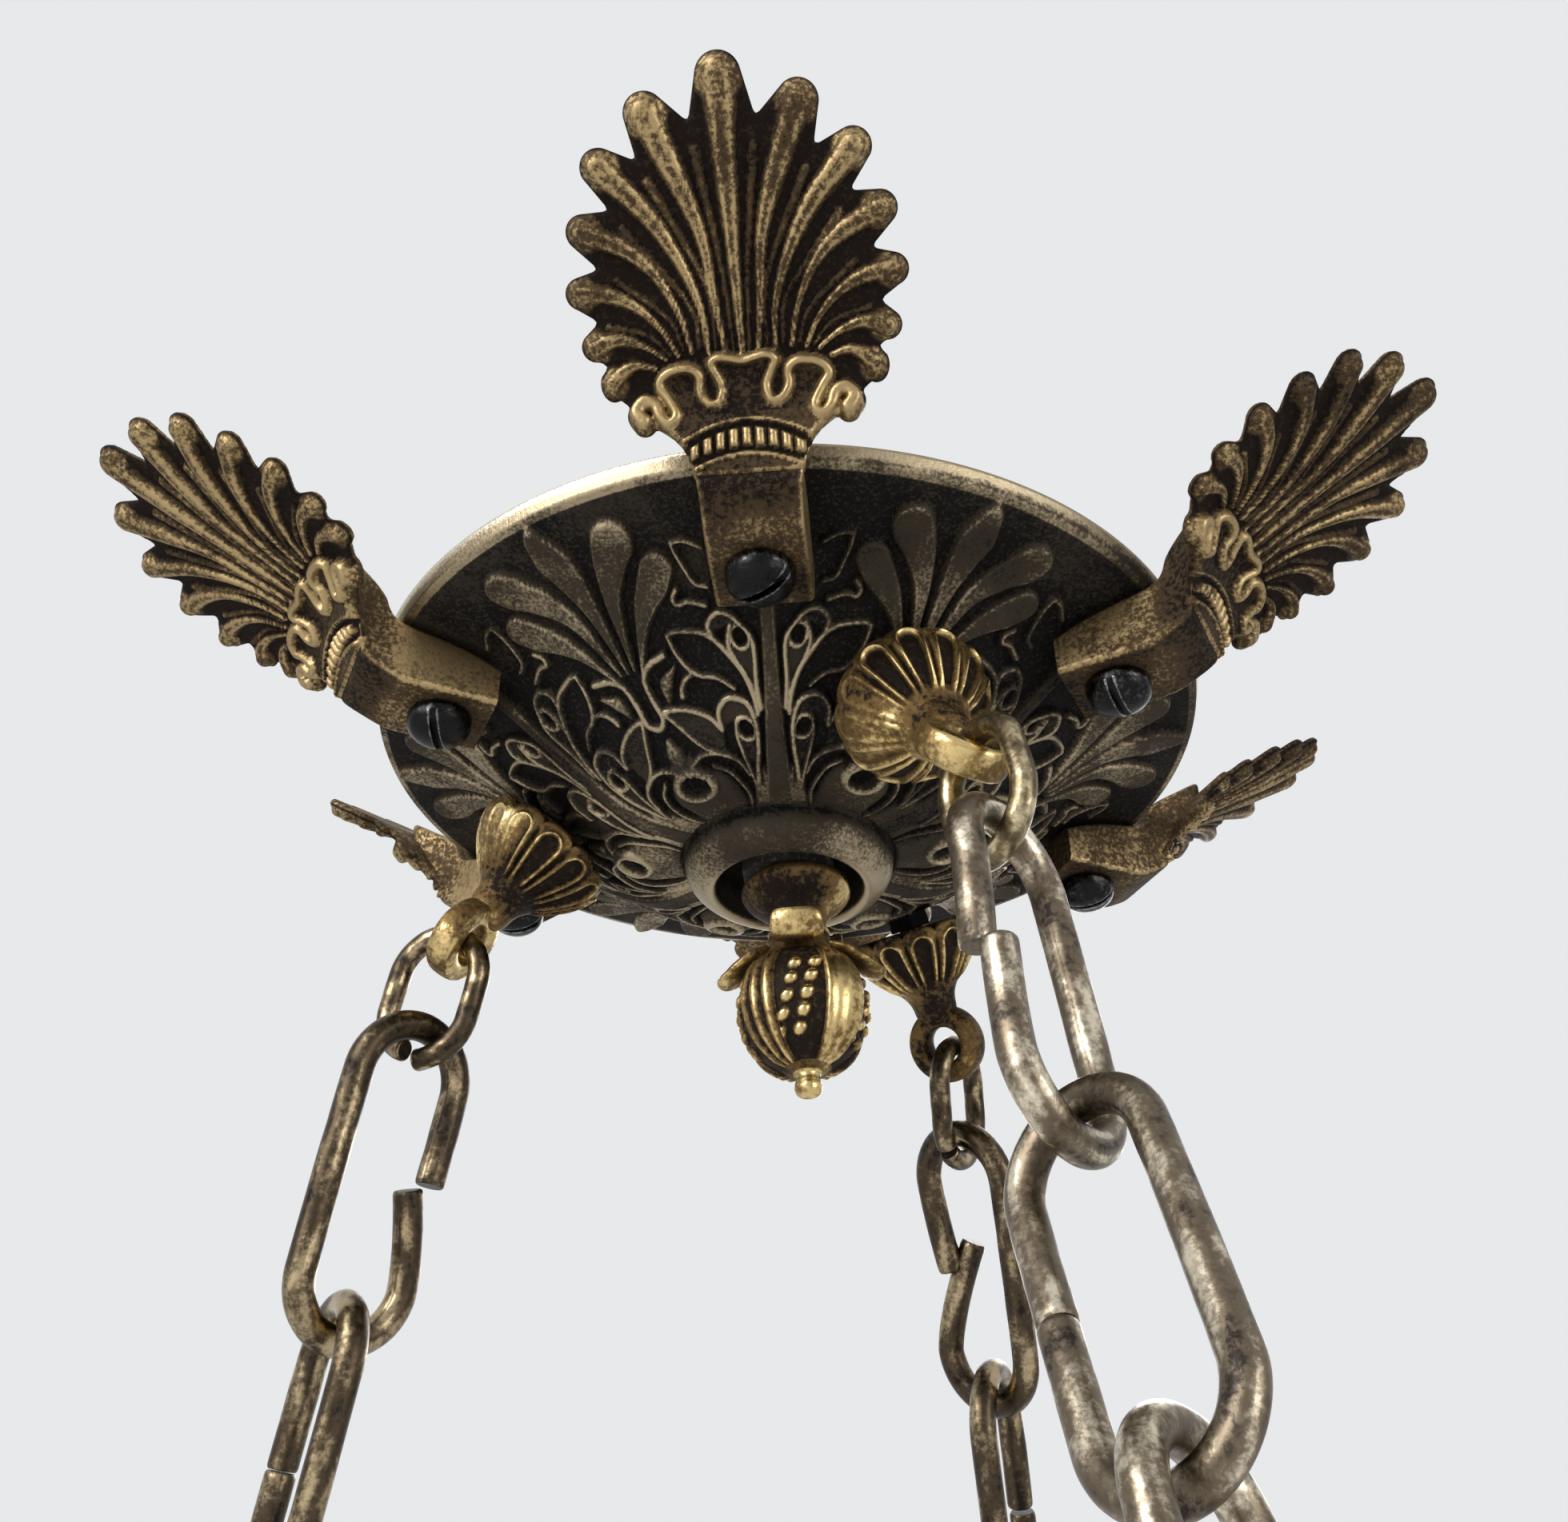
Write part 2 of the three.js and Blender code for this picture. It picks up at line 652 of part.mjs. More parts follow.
crown.add(named('finial_acorn', leaned(finialAcorn()), gildedBrass));
crown.add(named('hanging_loop', hangingLoop(), antiqueBrass));

object.updateMatrixWorld(true);

export default object;
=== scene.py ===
import math

import bpy
import numpy as np
from mathutils import Matrix, Vector


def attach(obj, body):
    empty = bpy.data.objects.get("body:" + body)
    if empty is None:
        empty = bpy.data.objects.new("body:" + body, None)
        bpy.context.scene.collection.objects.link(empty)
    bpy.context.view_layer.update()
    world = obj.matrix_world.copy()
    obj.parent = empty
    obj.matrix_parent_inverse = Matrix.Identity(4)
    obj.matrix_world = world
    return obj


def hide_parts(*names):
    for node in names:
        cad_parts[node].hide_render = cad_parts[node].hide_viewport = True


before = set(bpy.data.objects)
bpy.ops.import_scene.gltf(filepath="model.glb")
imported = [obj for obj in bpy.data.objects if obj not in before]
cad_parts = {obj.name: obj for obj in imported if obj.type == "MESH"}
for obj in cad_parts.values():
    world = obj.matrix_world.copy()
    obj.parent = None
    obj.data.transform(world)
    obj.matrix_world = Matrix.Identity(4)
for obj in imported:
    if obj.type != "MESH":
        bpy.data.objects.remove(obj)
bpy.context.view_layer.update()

# Until a mesh is made, lengths are in millimetres and heights start at the lower edge of the dish's rim.
HANG_HEIGHT = 47.8  # of the frame's origin, where the hook bears on the hanging loop
RIM = 80.0  # radius of the dish
FIRST_BRACKET, FIRST_CHAIN = -90.0, -60.0  # degrees round the dish
BRACKET_STEP, CHAIN_STEP = 60, 120
TINY = 1e-9


# ---------- mesh helpers ----------
def clamp(value):
    return np.minimum(np.maximum(value, 0), 1)


def unit(vectors):
    return vectors / np.linalg.norm(vectors, axis=-1, keepdims=True)


def turn(points, degrees, axis="z"):
    """Points turned about the Z or the Y axis, right-handed."""
    a = math.radians(degrees)
    c, s = math.cos(a), math.sin(a)
    m = [[c, 0, s], [0, 1, 0], [-s, 0, c]] if axis == "y" else [[c, -s, 0], [s, c, 0], [0, 0, 1]]
    return np.asarray(points, float) @ np.array(m, float).T


class Shell:
    """Vertices, faces and a wear value for each vertex (0 in a hollow, 1 on a crest)."""

    def __init__(self):
        self.verts, self.wear, self.faces, self.count = [], [], [], 0

    def add(self, verts, faces, wear=0.5):
        verts = np.asarray(verts, float).reshape(-1, 3)
        self.verts.append(verts)
        self.wear.append(np.broadcast_to(np.asarray(wear, float).ravel(), (len(verts),)))
        self.faces.append(np.asarray(faces, int) + self.count)
        self.count += len(verts)

    def grid(self, points, wear=0.5, wrap_u=False, wrap_v=False, flip=False):
        points = np.asarray(points, float)
        nu, nv = points.shape[:2]
        i = np.arange(nu if wrap_u else nu - 1)
        j = np.arange(nv if wrap_v else nv - 1)
        a, b = np.meshgrid(i, j, indexing="ij")
        c, d = (a + 1) % nu, (b + 1) % nv
        quads = np.stack([a * nv + b, c * nv + b, c * nv + d, a * nv + d], -1).reshape(-1, 4)
        if flip:
            quads = quads[:, ::-1]
        self.add(points.reshape(-1, 3), quads, wear)

    def cap(self, ring, wear=0.5, flip=False):
        ring = np.asarray(ring, float)
        n = len(ring)
        k = np.arange(n)
        faces = np.stack([k, (k + 1) % n, np.full(n, n)], -1)
        if flip:
            faces = faces[:, ::-1]
        self.add(np.vstack([ring, ring.mean(0)]), faces, wear)

    def moved(self, change):
        self.verts = [change(v) for v in self.verts]
        return self


def piece(name, shell, material, body, nodes, angle=0.0):
    verts = turn(np.vstack(shell.verts), angle)
    verts = (verts - [0, 0, HANG_HEIGHT]) / 1000.0
    mesh = bpy.data.meshes.new(name)
    faces = [f for block in shell.faces for f in block.tolist()]
    mesh.from_pydata(verts.tolist(), [], faces)
    wear = mesh.attributes.new("wear", "FLOAT", "POINT")
    wear.data.foreach_set("value", np.concatenate(shell.wear).astype(np.float32))
    mesh.shade_smooth()
    mesh.materials.append(material)
    obj = bpy.data.objects.new(name, mesh)
    bpy.context.scene.collection.objects.link(obj)
    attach(obj, body)
    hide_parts(*nodes)


def smooth_line(points, per=8):
    """A Catmull-Rom curve through points."""
    p = np.asarray(points, float)
    p = np.vstack([2 * p[0] - p[1], p, 2 * p[-1] - p[-2]])
    t = np.linspace(0, 1, per, endpoint=False)[:, None]
    out = []
    for a, b, c, d in zip(p[:-3], p[1:-2], p[2:-1], p[3:]):
        curve = 2 * b + (c - a) * t + (2 * a - 5 * b + 4 * c - d) * t**2
        out.append(0.5 * (curve + (3 * b - a - 3 * c + d) * t**3))
    return np.vstack(out + [p[-2][None]])


def smooth_profile(points, per):
    """A smoothed profile of radius and height, the distance along it, and its normals to the right."""
    line = smooth_line(points, per)
    distance = np.concatenate([[0], np.cumsum(np.linalg.norm(np.diff(line, axis=0), axis=1))])
    tangent = unit(np.gradient(line, axis=0))
    return line, distance, np.stack([tangent[:, 1], -tangent[:, 0]], -1)


def tube(shell, path, radius, sides, wear, up, closed=False, caps=False, flat=1.0):
    """A round bar along a path. flat squashes it along the section's second direction."""
    path = np.asarray(path, float)
    n = len(path)
    radius = np.broadcast_to(np.asarray(radius, float), (n,))
    tangent = np.roll(path, -1, 0) - np.roll(path, 1, 0)
    if not closed:
        tangent[0], tangent[-1] = path[1] - path[0], path[-1] - path[-2]
    tangent = unit(tangent)
    side = unit(np.cross(tangent[0], up))
    first = []
    for direction in tangent:
        side = unit(side - direction * (side @ direction))
        first.append(side)
    first = np.array(first)
    second = np.cross(tangent, first)
    a = np.linspace(0, 2 * math.pi, sides, endpoint=False)
    ring = np.cos(a)[None, :, None] * first[:, None] + flat * np.sin(a)[None, :, None] * second[:, None]
    points = path[:, None] + radius[:, None, None] * ring
    shell.grid(points, wear, wrap_u=closed, wrap_v=True, flip=True)
    if caps:
        shell.cap(points[0])
        shell.cap(points[-1], flip=True)


def revolve(shell, profile, segments=96, wear=0.5, flip=False):
    """A body of revolution about Z. Profile points are radius and height."""
    p = np.asarray(profile, float)
    a = np.linspace(0, 2 * math.pi, segments, endpoint=False)
    points = np.stack(
        [p[:, :1] * np.cos(a), p[:, :1] * np.sin(a), np.broadcast_to(p[:, 1:2], (len(p), segments))], -1
    )
    value = np.asarray(wear, float)
    if value.ndim == 1:
        value = np.repeat(value[:, None], segments, 1)
    shell.grid(points, value, wrap_v=True, flip=flip)


def near_lines(points, lines):
    """For points in the plane, the best (half width - distance) to a set of tapering lines."""
    best = np.full(len(points), -1e9)
    for path, widths in lines:
        path = np.asarray(path, float)
        widths = np.broadcast_to(np.asarray(widths, float), (len(path),))
        for a, b, wa, wb in zip(path[:-1], path[1:], widths[:-1], widths[1:]):
            step = b - a
            t = clamp(((points - a) @ step) / max(step @ step, TINY))
            gap = np.linalg.norm(points - a - t[:, None] * step, axis=1)
            best = np.maximum(best, wa + (wb - wa) * t - gap)
    return best


def inside_polygon(points, corners):
    """Signed distance to a polygon, positive inside."""
    corners = np.asarray(corners, float)
    best = np.full(len(points), 1e9)
    inside = np.zeros(len(points), bool)
    for a, b in zip(corners, np.roll(corners, -1, 0)):
        step = b - a
        t = clamp(((points - a) @ step) / (step @ step))
        best = np.minimum(best, np.linalg.norm(points - a - t[:, None] * step, axis=1))
        crosses = (a[1] > points[:, 1]) != (b[1] > points[:, 1])
        at = a[0] + (points[:, 1] - a[1]) / (step[1] or TINY) * step[0]
        inside ^= crosses & (points[:, 0] < at)
    return np.where(inside, best, -best)


def swell(depth, edge):
    """A quarter-round rise from 0 to 1 over an edge width."""
    s = clamp(depth / edge)
    return np.sqrt(1 - (1 - s) ** 2)


# ---------- materials ----------
def mix(nodes, links, kind, a, b, factor):
    node = nodes.new("ShaderNodeMix")
    node.data_type = kind
    if kind == "RGBA":
        first, second, out = node.inputs[6], node.inputs[7], node.outputs[2]
    else:
        first, second, out = node.inputs[2], node.inputs[3], node.outputs[0]
    for socket, value in ((first, a), (second, b), (node.inputs[0], factor)):
        if hasattr(value, "links"):
            links.new(value, socket)
        elif isinstance(value, tuple):
            socket.default_value = (*value, 1.0)
        else:
            socket.default_value = value
    return out


def ramp(nodes, links, source, low, high, to_low=0.0, to_high=1.0):
    node = nodes.new("ShaderNodeMapRange")
    node.interpolation_type = "SMOOTHSTEP"
    links.new(source, node.inputs["Value"])
    node.inputs["From Min"].default_value = low
    node.inputs["From Max"].default_value = high
    node.inputs["To Min"].default_value = to_low
    node.inputs["To Max"].default_value = to_high
    return node.outputs["Result"]


def noise(nodes, links, coordinates, scale, detail, rough):
    node = nodes.new("ShaderNodeTexNoise")
    node.inputs["Scale"].default_value = scale
    node.inputs["Detail"].default_value = detail
    node.inputs["Roughness"].default_value = rough
    links.new(coordinates, node.inputs["Vector"])
    return node.outputs["Fac"]


def math_node(nodes, links, operation, a, b):
    node = nodes.new("ShaderNodeMath")
    node.operation = operation
    for socket, value in zip(node.inputs, (a, b)):
        if hasattr(value, "links"):
            links.new(value, socket)
        else:
            socket.default_value = value
    return node.outputs[0]


def aged_metal(
    name, dark, middle, bright, wear_range, patch, rough=(0.72, 0.36), bump=0.25, grain=900.0, mottle=0.16,
    dust=3.0, polished=(0.74, 0.66, 0.5),
):
    """Old cast metal: grime and painted shade in the hollows, patina between, rubbed metal on the crests, polish over
    wear 2.
    """
    material = bpy.data.materials.new(name)
    material.use_nodes = True
    nodes, links = material.node_tree.nodes, material.node_tree.links
    shader = nodes["Principled BSDF"]
    coordinates = nodes.new("ShaderNodeTexCoord").outputs["Object"]
    attribute = nodes.new("ShaderNodeAttribute")
    attribute.attribute_name = "wear"
    wear = attribute.outputs["Fac"]
    broad = noise(nodes, links, coordinates, 55.0, 5.0, 0.62)
    fine = noise(nodes, links, coordinates, grain, 3.0, 0.7)
    blotch = ramp(nodes, links, broad, 0.3, 0.7, -patch, patch)
    speck = ramp(nodes, links, fine, 0.34, 0.66, -mottle, mottle)
    change = math_node(nodes, links, "ADD", blotch, speck)
    change = math_node(nodes, links, "MULTIPLY", change, ramp(nodes, links, wear, 0.0, 0.45, 0.25, 1.0))
    level = math_node(nodes, links, "ADD", wear, change)
    low, mid, high = wear_range
    hollow = ramp(nodes, links, level, low, mid)
    crest = ramp(nodes, links, level, mid, high)
    # The hollows take this dark colour: grime, and painted shade that stands in for the crevices' shadow.
    dirt_and_painted_shade = mix(nodes, links, "RGBA", dark, tuple(dust * c for c in dark), ramp(nodes, links, fine, 0.5, 0.68))
    colour = mix(nodes, links, "RGBA", mix(nodes, links, "RGBA", dirt_and_painted_shade, middle, hollow), bright, crest)
    polish = ramp(nodes, links, level, 1.75, 2.15)
    colour = mix(nodes, links, "RGBA", colour, polished, polish)
    links.new(colour, shader.inputs["Base Color"])
    # The hollows are also made less metallic and less specular, which paints more shade into them.
    links.new(ramp(nodes, links, hollow, 0.0, 1.0, 0.2, 1.0), shader.inputs["Metallic"])
    links.new(ramp(nodes, links, hollow, 0.0, 1.0, 0.1, 0.3), shader.inputs["Specular IOR Level"])
    gloss = mix(nodes, links, "FLOAT", mix(nodes, links, "FLOAT", rough[0], rough[1], crest), 0.3, polish)
    gloss = math_node(nodes, links, "ADD", gloss, ramp(nodes, links, fine, 0.3, 0.7, -0.06, 0.08))
    links.new(gloss, shader.inputs["Roughness"])
    node = nodes.new("ShaderNodeBump")
    node.inputs["Strength"].default_value = bump
    node.inputs["Distance"].default_value = 0.0003
    pits = math_node(nodes, links, "ADD", fine, noise(nodes, links, coordinates, grain * 0.3, 4.0, 0.6))
    links.new(pits, node.inputs["Height"])
    links.new(node.outputs["Normal"], shader.inputs["Normal"])
    return material


dish_bronze = aged_metal(
    "dish_bronze", (0.0062, 0.0053, 0.0045), (0.062, 0.049, 0.035), (0.36, 0.29, 0.185), (0.15, 0.52, 1.0), 0.2,
    mottle=0.13, grain=1500.0, dust=4.5,
)
bracket_brass = aged_metal(
    "bracket_brass", (0.0085, 0.0052, 0.0033), (0.083, 0.055, 0.03), (0.38, 0.275, 0.135), (0.15, 0.5, 1.0), 0.2,
    mottle=0.2, grain=1200.0,
)
gilded_brass = aged_metal(
    "gilded_brass", (0.011, 0.0068, 0.004), (0.165, 0.103, 0.04), (0.62, 0.46, 0.205), (0.1, 0.5, 1.0), 0.4,
    rough=(0.6, 0.22), bump=0.15,
)
CHAIN_LOOK = {"wear_range": (0.16, 0.5, 0.95), "patch": 0.17, "rough": (0.36, 0.19), "bump": 0.1, "mottle": 0.1}
chain_pale = aged_metal("chain_pale", (0.026, 0.019, 0.015), (0.165, 0.13, 0.09), (0.74, 0.655, 0.5), **CHAIN_LOOK)
chain_brown = aged_metal(
    "chain_brown", (0.012, 0.0085, 0.006), (0.07, 0.051, 0.032), (0.43, 0.335, 0.2), **CHAIN_LOOK
)
ring_brass = aged_metal("ring_brass", (0.02, 0.014, 0.008), (0.16, 0.122, 0.068), (0.62, 0.52, 0.33), **CHAIN_LOOK)
black_steel = aged_metal(
    "black_steel", (0.004, 0.004, 0.004), (0.015, 0.0148, 0.015), (0.22, 0.22, 0.22), (0.15, 0.5, 1.05), 0.16,
    rough=(0.3, 0.17), bump=0.08,
)
hidden_steel = aged_metal(
    "hidden_steel", (0.004, 0.004, 0.004), (0.012, 0.011, 0.01), (0.05, 0.047, 0.043), (0.15, 0.5, 1.1), 0.2,
    rough=(0.75, 0.6), bump=0.15,
)
dull_steel = aged_metal(
    "dull_steel", (0.05, 0.045, 0.04), (0.2, 0.19, 0.175), (0.42, 0.41, 0.39), (0.1, 0.5, 1.0), 0.3
)


# ---------- dish ----------
# Profiles of the underside between boss and rim, of the boss (the cast ring) and of the upper side.
DISH_CELL, HALF_SECTOR, HALF_SECTOR_COLUMNS = 0.36, 30.0, 100
BOSS_EDGE = 19.9
field = np.array(
    [
        (19.9, -24.7), (24, -24.6), (28, -24.4), (33, -22.9), (38, -20.1), (46.5, -14.2), (55, -8.3), (59, -5.8),
        (62.5, -4.0), (67, -2.4), (73, -1.3), (78, -0.55), (80, 0.0),
    ]
)
boss = [(5.1, -25.5), (13.9, -25.5), (13.9, -31.9), (14.05, -32.6), (14.5, -33.0), (15.1, -33.05), (15.9, -32.75),
        (17.2, -31.9), (18.3, -30.95), (19.1, -29.9), (19.65, -28.6), (19.88, -27.0)]
dish_top = [(80.3, 0.6), (80.8, 2.6), (81.0, 3.1), (80.7, 3.4), (76.5, 3.4), (73, 1.8), (66.4, 0.7), (61.1, -1.4),
            (57.4, -3.2), (53.3, -5.8), (44.8, -11.7), (36.3, -17.6), (31.6, -20.2), (27.3, -21.4), (12, -22.4),
            (5.1, -22.5), (5.1, -25.5)]


def polar(points):
    """Relief points given as radius (rim = 1) and degrees from the middle of a sector."""
    p = np.asarray(points, float)
    a = np.radians(p[:, 1])
    return np.stack([RIM * p[:, 0] * np.cos(a), RIM * p[:, 0] * np.sin(a)], -1)


def stroke(points, widths, per=6):
    path = smooth_line(polar(points), per)
    w = np.atleast_1d(np.asarray(widths, float))
    if len(w) == 1:
        w = np.repeat(w, 2)
    w = np.interp(np.linspace(0, 1, len(path)), np.linspace(0, 1, len(w)), w)
    return path, w


# Petals of the anthemion in the middle of each sector: path from tip to root, half widths.
petals = [
    stroke([(0.985, 0), (0.95, 0), (0.89, 0), (0.82, 0), (0.74, 0), (0.62, 0)], [0.3, 2.2, 3.5, 2.6, 1.5, 0.5]),
    stroke([(0.893, 9.4), (0.87, 8.7), (0.83, 6.9), (0.765, 4.5), (0.70, 3.1), (0.62, 1.6)],
           [3.7, 3.8, 3.0, 1.8, 1.1, 0.5]),
    stroke([(0.795, 13.4), (0.765, 11.9), (0.73, 9.4), (0.69, 7.0), (0.65, 5.0), (0.612, 3.0)],
           [3.1, 3.0, 2.2, 1.3, 0.8, 0.5]),
]
# The rib at each bracket and the shield that carries the volute.
ribs = [
    (polar([(0.24, 30), (0.44, 30), (0.55, 30), (0.80, 30)]), [2.7, 1.9, 1.5, 1.2]),
]
shield = [
    (polar([(0.40, 0), (0.33, 0), (0.24, 0)]), [3.4, 6.4, 5.2]),
]
blobs = [
    stroke([(0.475, 0), (0.445, 0), (0.412, 0)], [0.6, 1.8, 0.8]),
    stroke([(0.60, 9.5), (0.575, 6.5), (0.545, 5.5)], [0.4, 1.3, 0.5]),
    stroke([(0.345, 21.5), (0.30, 22.5), (0.25, 21.5)], [0.8, 1.5, 2.0]),
    stroke([(0.37, 25.0), (0.31, 25.5), (0.25, 25.2)], [0.5, 1.0, 1.2]),
]
# Raised outlines of the scroll leaves.
outlines = [
    stroke([(0.629, 8.6), (0.62, 5.0), (0.598, 2.6), (0.555, 2.2), (0.52, 2.4), (0.505, 0.8), (0.503, 0)], [0.8, 0.75]),
    stroke([(0.661, 10.8), (0.664, 12.6), (0.655, 16.6), (0.638, 19.2), (0.606, 21.6), (0.567, 24.1), (0.524, 25.6),
            (0.49, 26.1)], [0.6, 0.75, 0.75]),
    stroke([(0.661, 10.8), (0.628, 11.3), (0.598, 12.5), (0.577, 14.6), (0.565, 18.3), (0.54, 21.5)], [0.6, 0.75, 0.5]),
    stroke([(0.546, 9.3), (0.56, 9.8), (0.575, 11.2), (0.58, 13.2), (0.575, 16.3)], [0.8, 0.7, 0.4]),
    stroke([(0.641, 19.3), (0.664, 18.9), (0.683, 21.0), (0.674, 23.4), (0.652, 25.1), (0.629, 26.6), (0.60, 26.9),
            (0.55, 26.6), (0.5, 27.0)], [0.7, 0.75]),
    stroke([(0.657, 23.0), (0.626, 22.0), (0.589, 23.0), (0.551, 25.0), (0.51, 26.3)], [0.7, 0.6]),
    stroke([(0.529, 3.0), (0.528, 5.5), (0.519, 9.4), (0.497, 13.7), (0.469, 16.0)], [0.7]),
    stroke([(0.522, 3.5), (0.487, 5.9), (0.45, 8.7), (0.428, 12.0), (0.416, 15.5)], [0.7, 0.6]),
    stroke([(0.469, 16.0), (0.504, 16.4), (0.524, 18.9), (0.522, 21.6), (0.508, 23.9), (0.472, 25.2), (0.431, 25.0),
            (0.379, 23.6), (0.338, 22.5)], [0.7, 0.75]),
    stroke([(0.48, 20.2), (0.455, 19.6), (0.431, 19.8), (0.381, 20.7), (0.333, 21.3)], [0.6]),
    stroke([(0.409, 2.0), (0.427, 7.2), (0.424, 12.4), (0.401, 17.8), (0.36, 20.2)], [0.7, 0.6]),
    stroke([(0.845, 16.9), (0.811, 17.1), (0.771, 17.8), (0.744, 18.6), (0.734, 20.5)], [0.6]),
    stroke([(0.845, 16.9), (0.842, 18.8), (0.818, 21.2)], [0.6]),
    stroke([(0.742, 15.2), (0.726, 14.2), (0.711, 14.6), (0.713, 16.6), (0.70, 19.4)], [0.7]),
    stroke([(0.40, 9.6), (0.378, 13.6), (0.34, 16.0), (0.295, 16.8), (0.25, 14.6)], [0.6]),
]
# Leaf blades between those outlines, as pairs of outlines whose ends are joined.
leaf_blades = [(4, 5), (6, 7), (8, 9)]
volute = polar([(0.368, 0)])[0]
eyes = [(polar([(0.633, 24.4)])[0], (1.6, 1.3)), (polar([(0.462, 22.3)])[0], (1.7, 1.35))]


def relief(radius, degrees):
    """Height and wear of the dish's relief at points given in millimetres and degrees from a sector's middle."""
    a = np.radians(np.abs(degrees))
    p = np.stack([radius * np.cos(a), radius * np.sin(a)], -1)
    height = np.zeros(len(p))
    wear = 0.05 + 0.17 * clamp((radius - 50) / 12)

    def lay(depth, edge, high, base=0.0, shine=(0.5, 0.95), sharp=1.0):
        nonlocal height, wear
        rise = swell(depth, edge)
        inside = depth > 0
        h = base + high * rise
        over = inside & (h > height)
        height = np.where(over, h, height)
        wear = np.where(over, shine[0] + (shine[1] - shine[0]) * rise**sharp, wear)

    for first, second in leaf_blades:
        blade = np.vstack([outlines[first][0], outlines[second][0][::-1]])
        lay(inside_polygon(p, blade), 0.9, 0.8, 0.0, (0.16, 0.3))
    lay(near_lines(p, shield), 2.0, 1.5, 0.0, (0.35, 0.55))
    d = near_lines(p, petals)
    lay(d, 0.9, 1.9, 0.0, (0.3, 0.62))
    wear = np.maximum(wear, 0.84 * np.exp(-(((d - 0.5) / 0.42) ** 2)))
    lay(near_lines(p, blobs), 1.1, 1.6, 0.0, (0.4, 0.75))
    d = near_lines(p, ribs)
    lay(d, 1.0, 2.2, 0.0, (0.3, 0.44))
    wear = np.maximum(wear, 0.74 * np.exp(-(((d - 0.4) / 0.36) ** 2)) * (height > 0.6))
    lay(near_lines(p, outlines), 0.62, 1.7, 0.0, (0.2, 0.92), 5.0)
    # the volute: a raised oval ring round a dark hollow
    q = (p - volute) / np.array([3.6, 4.3])
    ring = np.hypot(q[:, 0], q[:, 1])
    lay((1.02 - ring) * 4.0, 1.2, 1.3, 1.2, (0.5, 0.95))
    hollow = swell((0.66 - ring) * 4.0, 1.4)
    height = height - 2.9 * hollow
    wear = wear * (1 - hollow)
    for centre, size in eyes:
        q = (p - centre) / np.array(size)
        ring = np.hypot(q[:, 0], q[:, 1])
        lay((1.45 - ring) * 1.5, 0.6, 1.5, 0.0, (0.4, 0.95))
        hollow = swell((0.95 - ring) * 1.5, 0.7)
        height = height - 1.8 * hollow
        wear = wear * (1 - hollow)
    return height, wear


def make_dish():
    r = np.concatenate([np.arange(BOSS_EDGE, RIM - 0.4, DISH_CELL), [RIM - 0.2, RIM]])
    z = np.interp(r, field[:, 0], field[:, 1])
    kernel = np.hanning(17)
    kernel /= kernel.sum()
    z = np.convolve(np.pad(z, 8, "reflect", reflect_type="odd"), kernel, "valid")
    slope = np.gradient(z, r)
    normal = unit(np.stack([slope, -np.ones_like(slope)], -1))
    # half a sector is drawn and mirrored, so the relief repeats six times
    degrees = (np.arange(HALF_SECTOR_COLUMNS) + 0.5) * HALF_SECTOR / HALF_SECTOR_COLUMNS
    rr, dd = np.meshgrid(r, degrees, indexing="ij")
    h, w = relief(rr.ravel(), dd.ravel())
    fade = clamp((79.2 - rr) / 1.2) * clamp((rr - BOSS_EDGE) / 0.8)
    h, w = h.reshape(rr.shape) * fade, w.reshape(rr.shape)
    w = np.where(rr > 78.9, 0.8, w)
    h = np.hstack([h, h[:, ::-1]] * 6)
    w = np.hstack([w, w[:, ::-1]] * 6)
    columns = h.shape[1]
    angle = np.radians(FIRST_CHAIN + (np.arange(columns) + 0.5) * HALF_SECTOR / HALF_SECTOR_COLUMNS)

    def rows(values):
        """A profile, or its wear, repeated round the dish."""
        return np.repeat(np.array(values, float)[:, None], columns, 1)

    middle = np.stack([r[:, None] + normal[:, :1] * h, z[:, None] + normal[:, 1:] * h], -1)
    both = np.concatenate([rows(boss), middle, rows(dish_top)], 0)
    boss_wear = rows([0.05, 0.05, 0.3, 0.7, 0.85, 0.76, 0.7, 0.68, 0.66, 0.62, 0.5, 0.2])
    top_wear = rows([1.1, 2.3, 2.4, 2.3, 0.6] + [0.35] * 12)  # the lip of the rim is polished
    wear = np.concatenate([boss_wear, w, top_wear], 0)
    # The cast ring is painted darker as shade on its side toward the front bracket, and lighter round the rest.
    painted_shade_near = clamp(np.cos(angle - math.radians(FIRST_BRACKET))) ** 1.5
    wear[:len(boss)] *= 1.5 - 0.88 * painted_shade_near
    dulled = clamp(np.cos(angle - math.radians(FIRST_BRACKET + 50))) ** 2
    wear[len(boss):len(boss) + len(r)] *= 1 - 0.18 * dulled
    wear[len(boss) + len(r):][:5] *= 1 - 0.6 * dulled
    points = np.stack([both[..., 0] * np.cos(angle), both[..., 0] * np.sin(angle), both[..., 1]], -1)
    shell = Shell()
    shell.grid(points, wear, wrap_v=True)
    return shell


piece("dish_relief", make_dish(), dish_bronze, "crown", ["crown_dish"])

# ---------- palmette brackets ----------
FOOT_UNDERSIDE, SCREW_CIRCLE, NECK_RADIUS = -14.0, 69.8, 88.0
PALMETTE_SLOPE = math.radians(31.5)
PALMETTE_FOOT = np.array([94.0, 3.7])
PALMETTE_THICK = 3.4
# How each bracket sits: turned about its screw, bent up at the neck and swung sideways, and how bright it is.
BRACKETS = [(-1.5, 1.9, 0, 0), (6.5, -0.5, 0, -0.07), (-3, 0, 0, -0.04), (0, 8, 0, 0), (-7, 4.5, -7, 0.04),
            (-2, -4, 0, 0.1)]

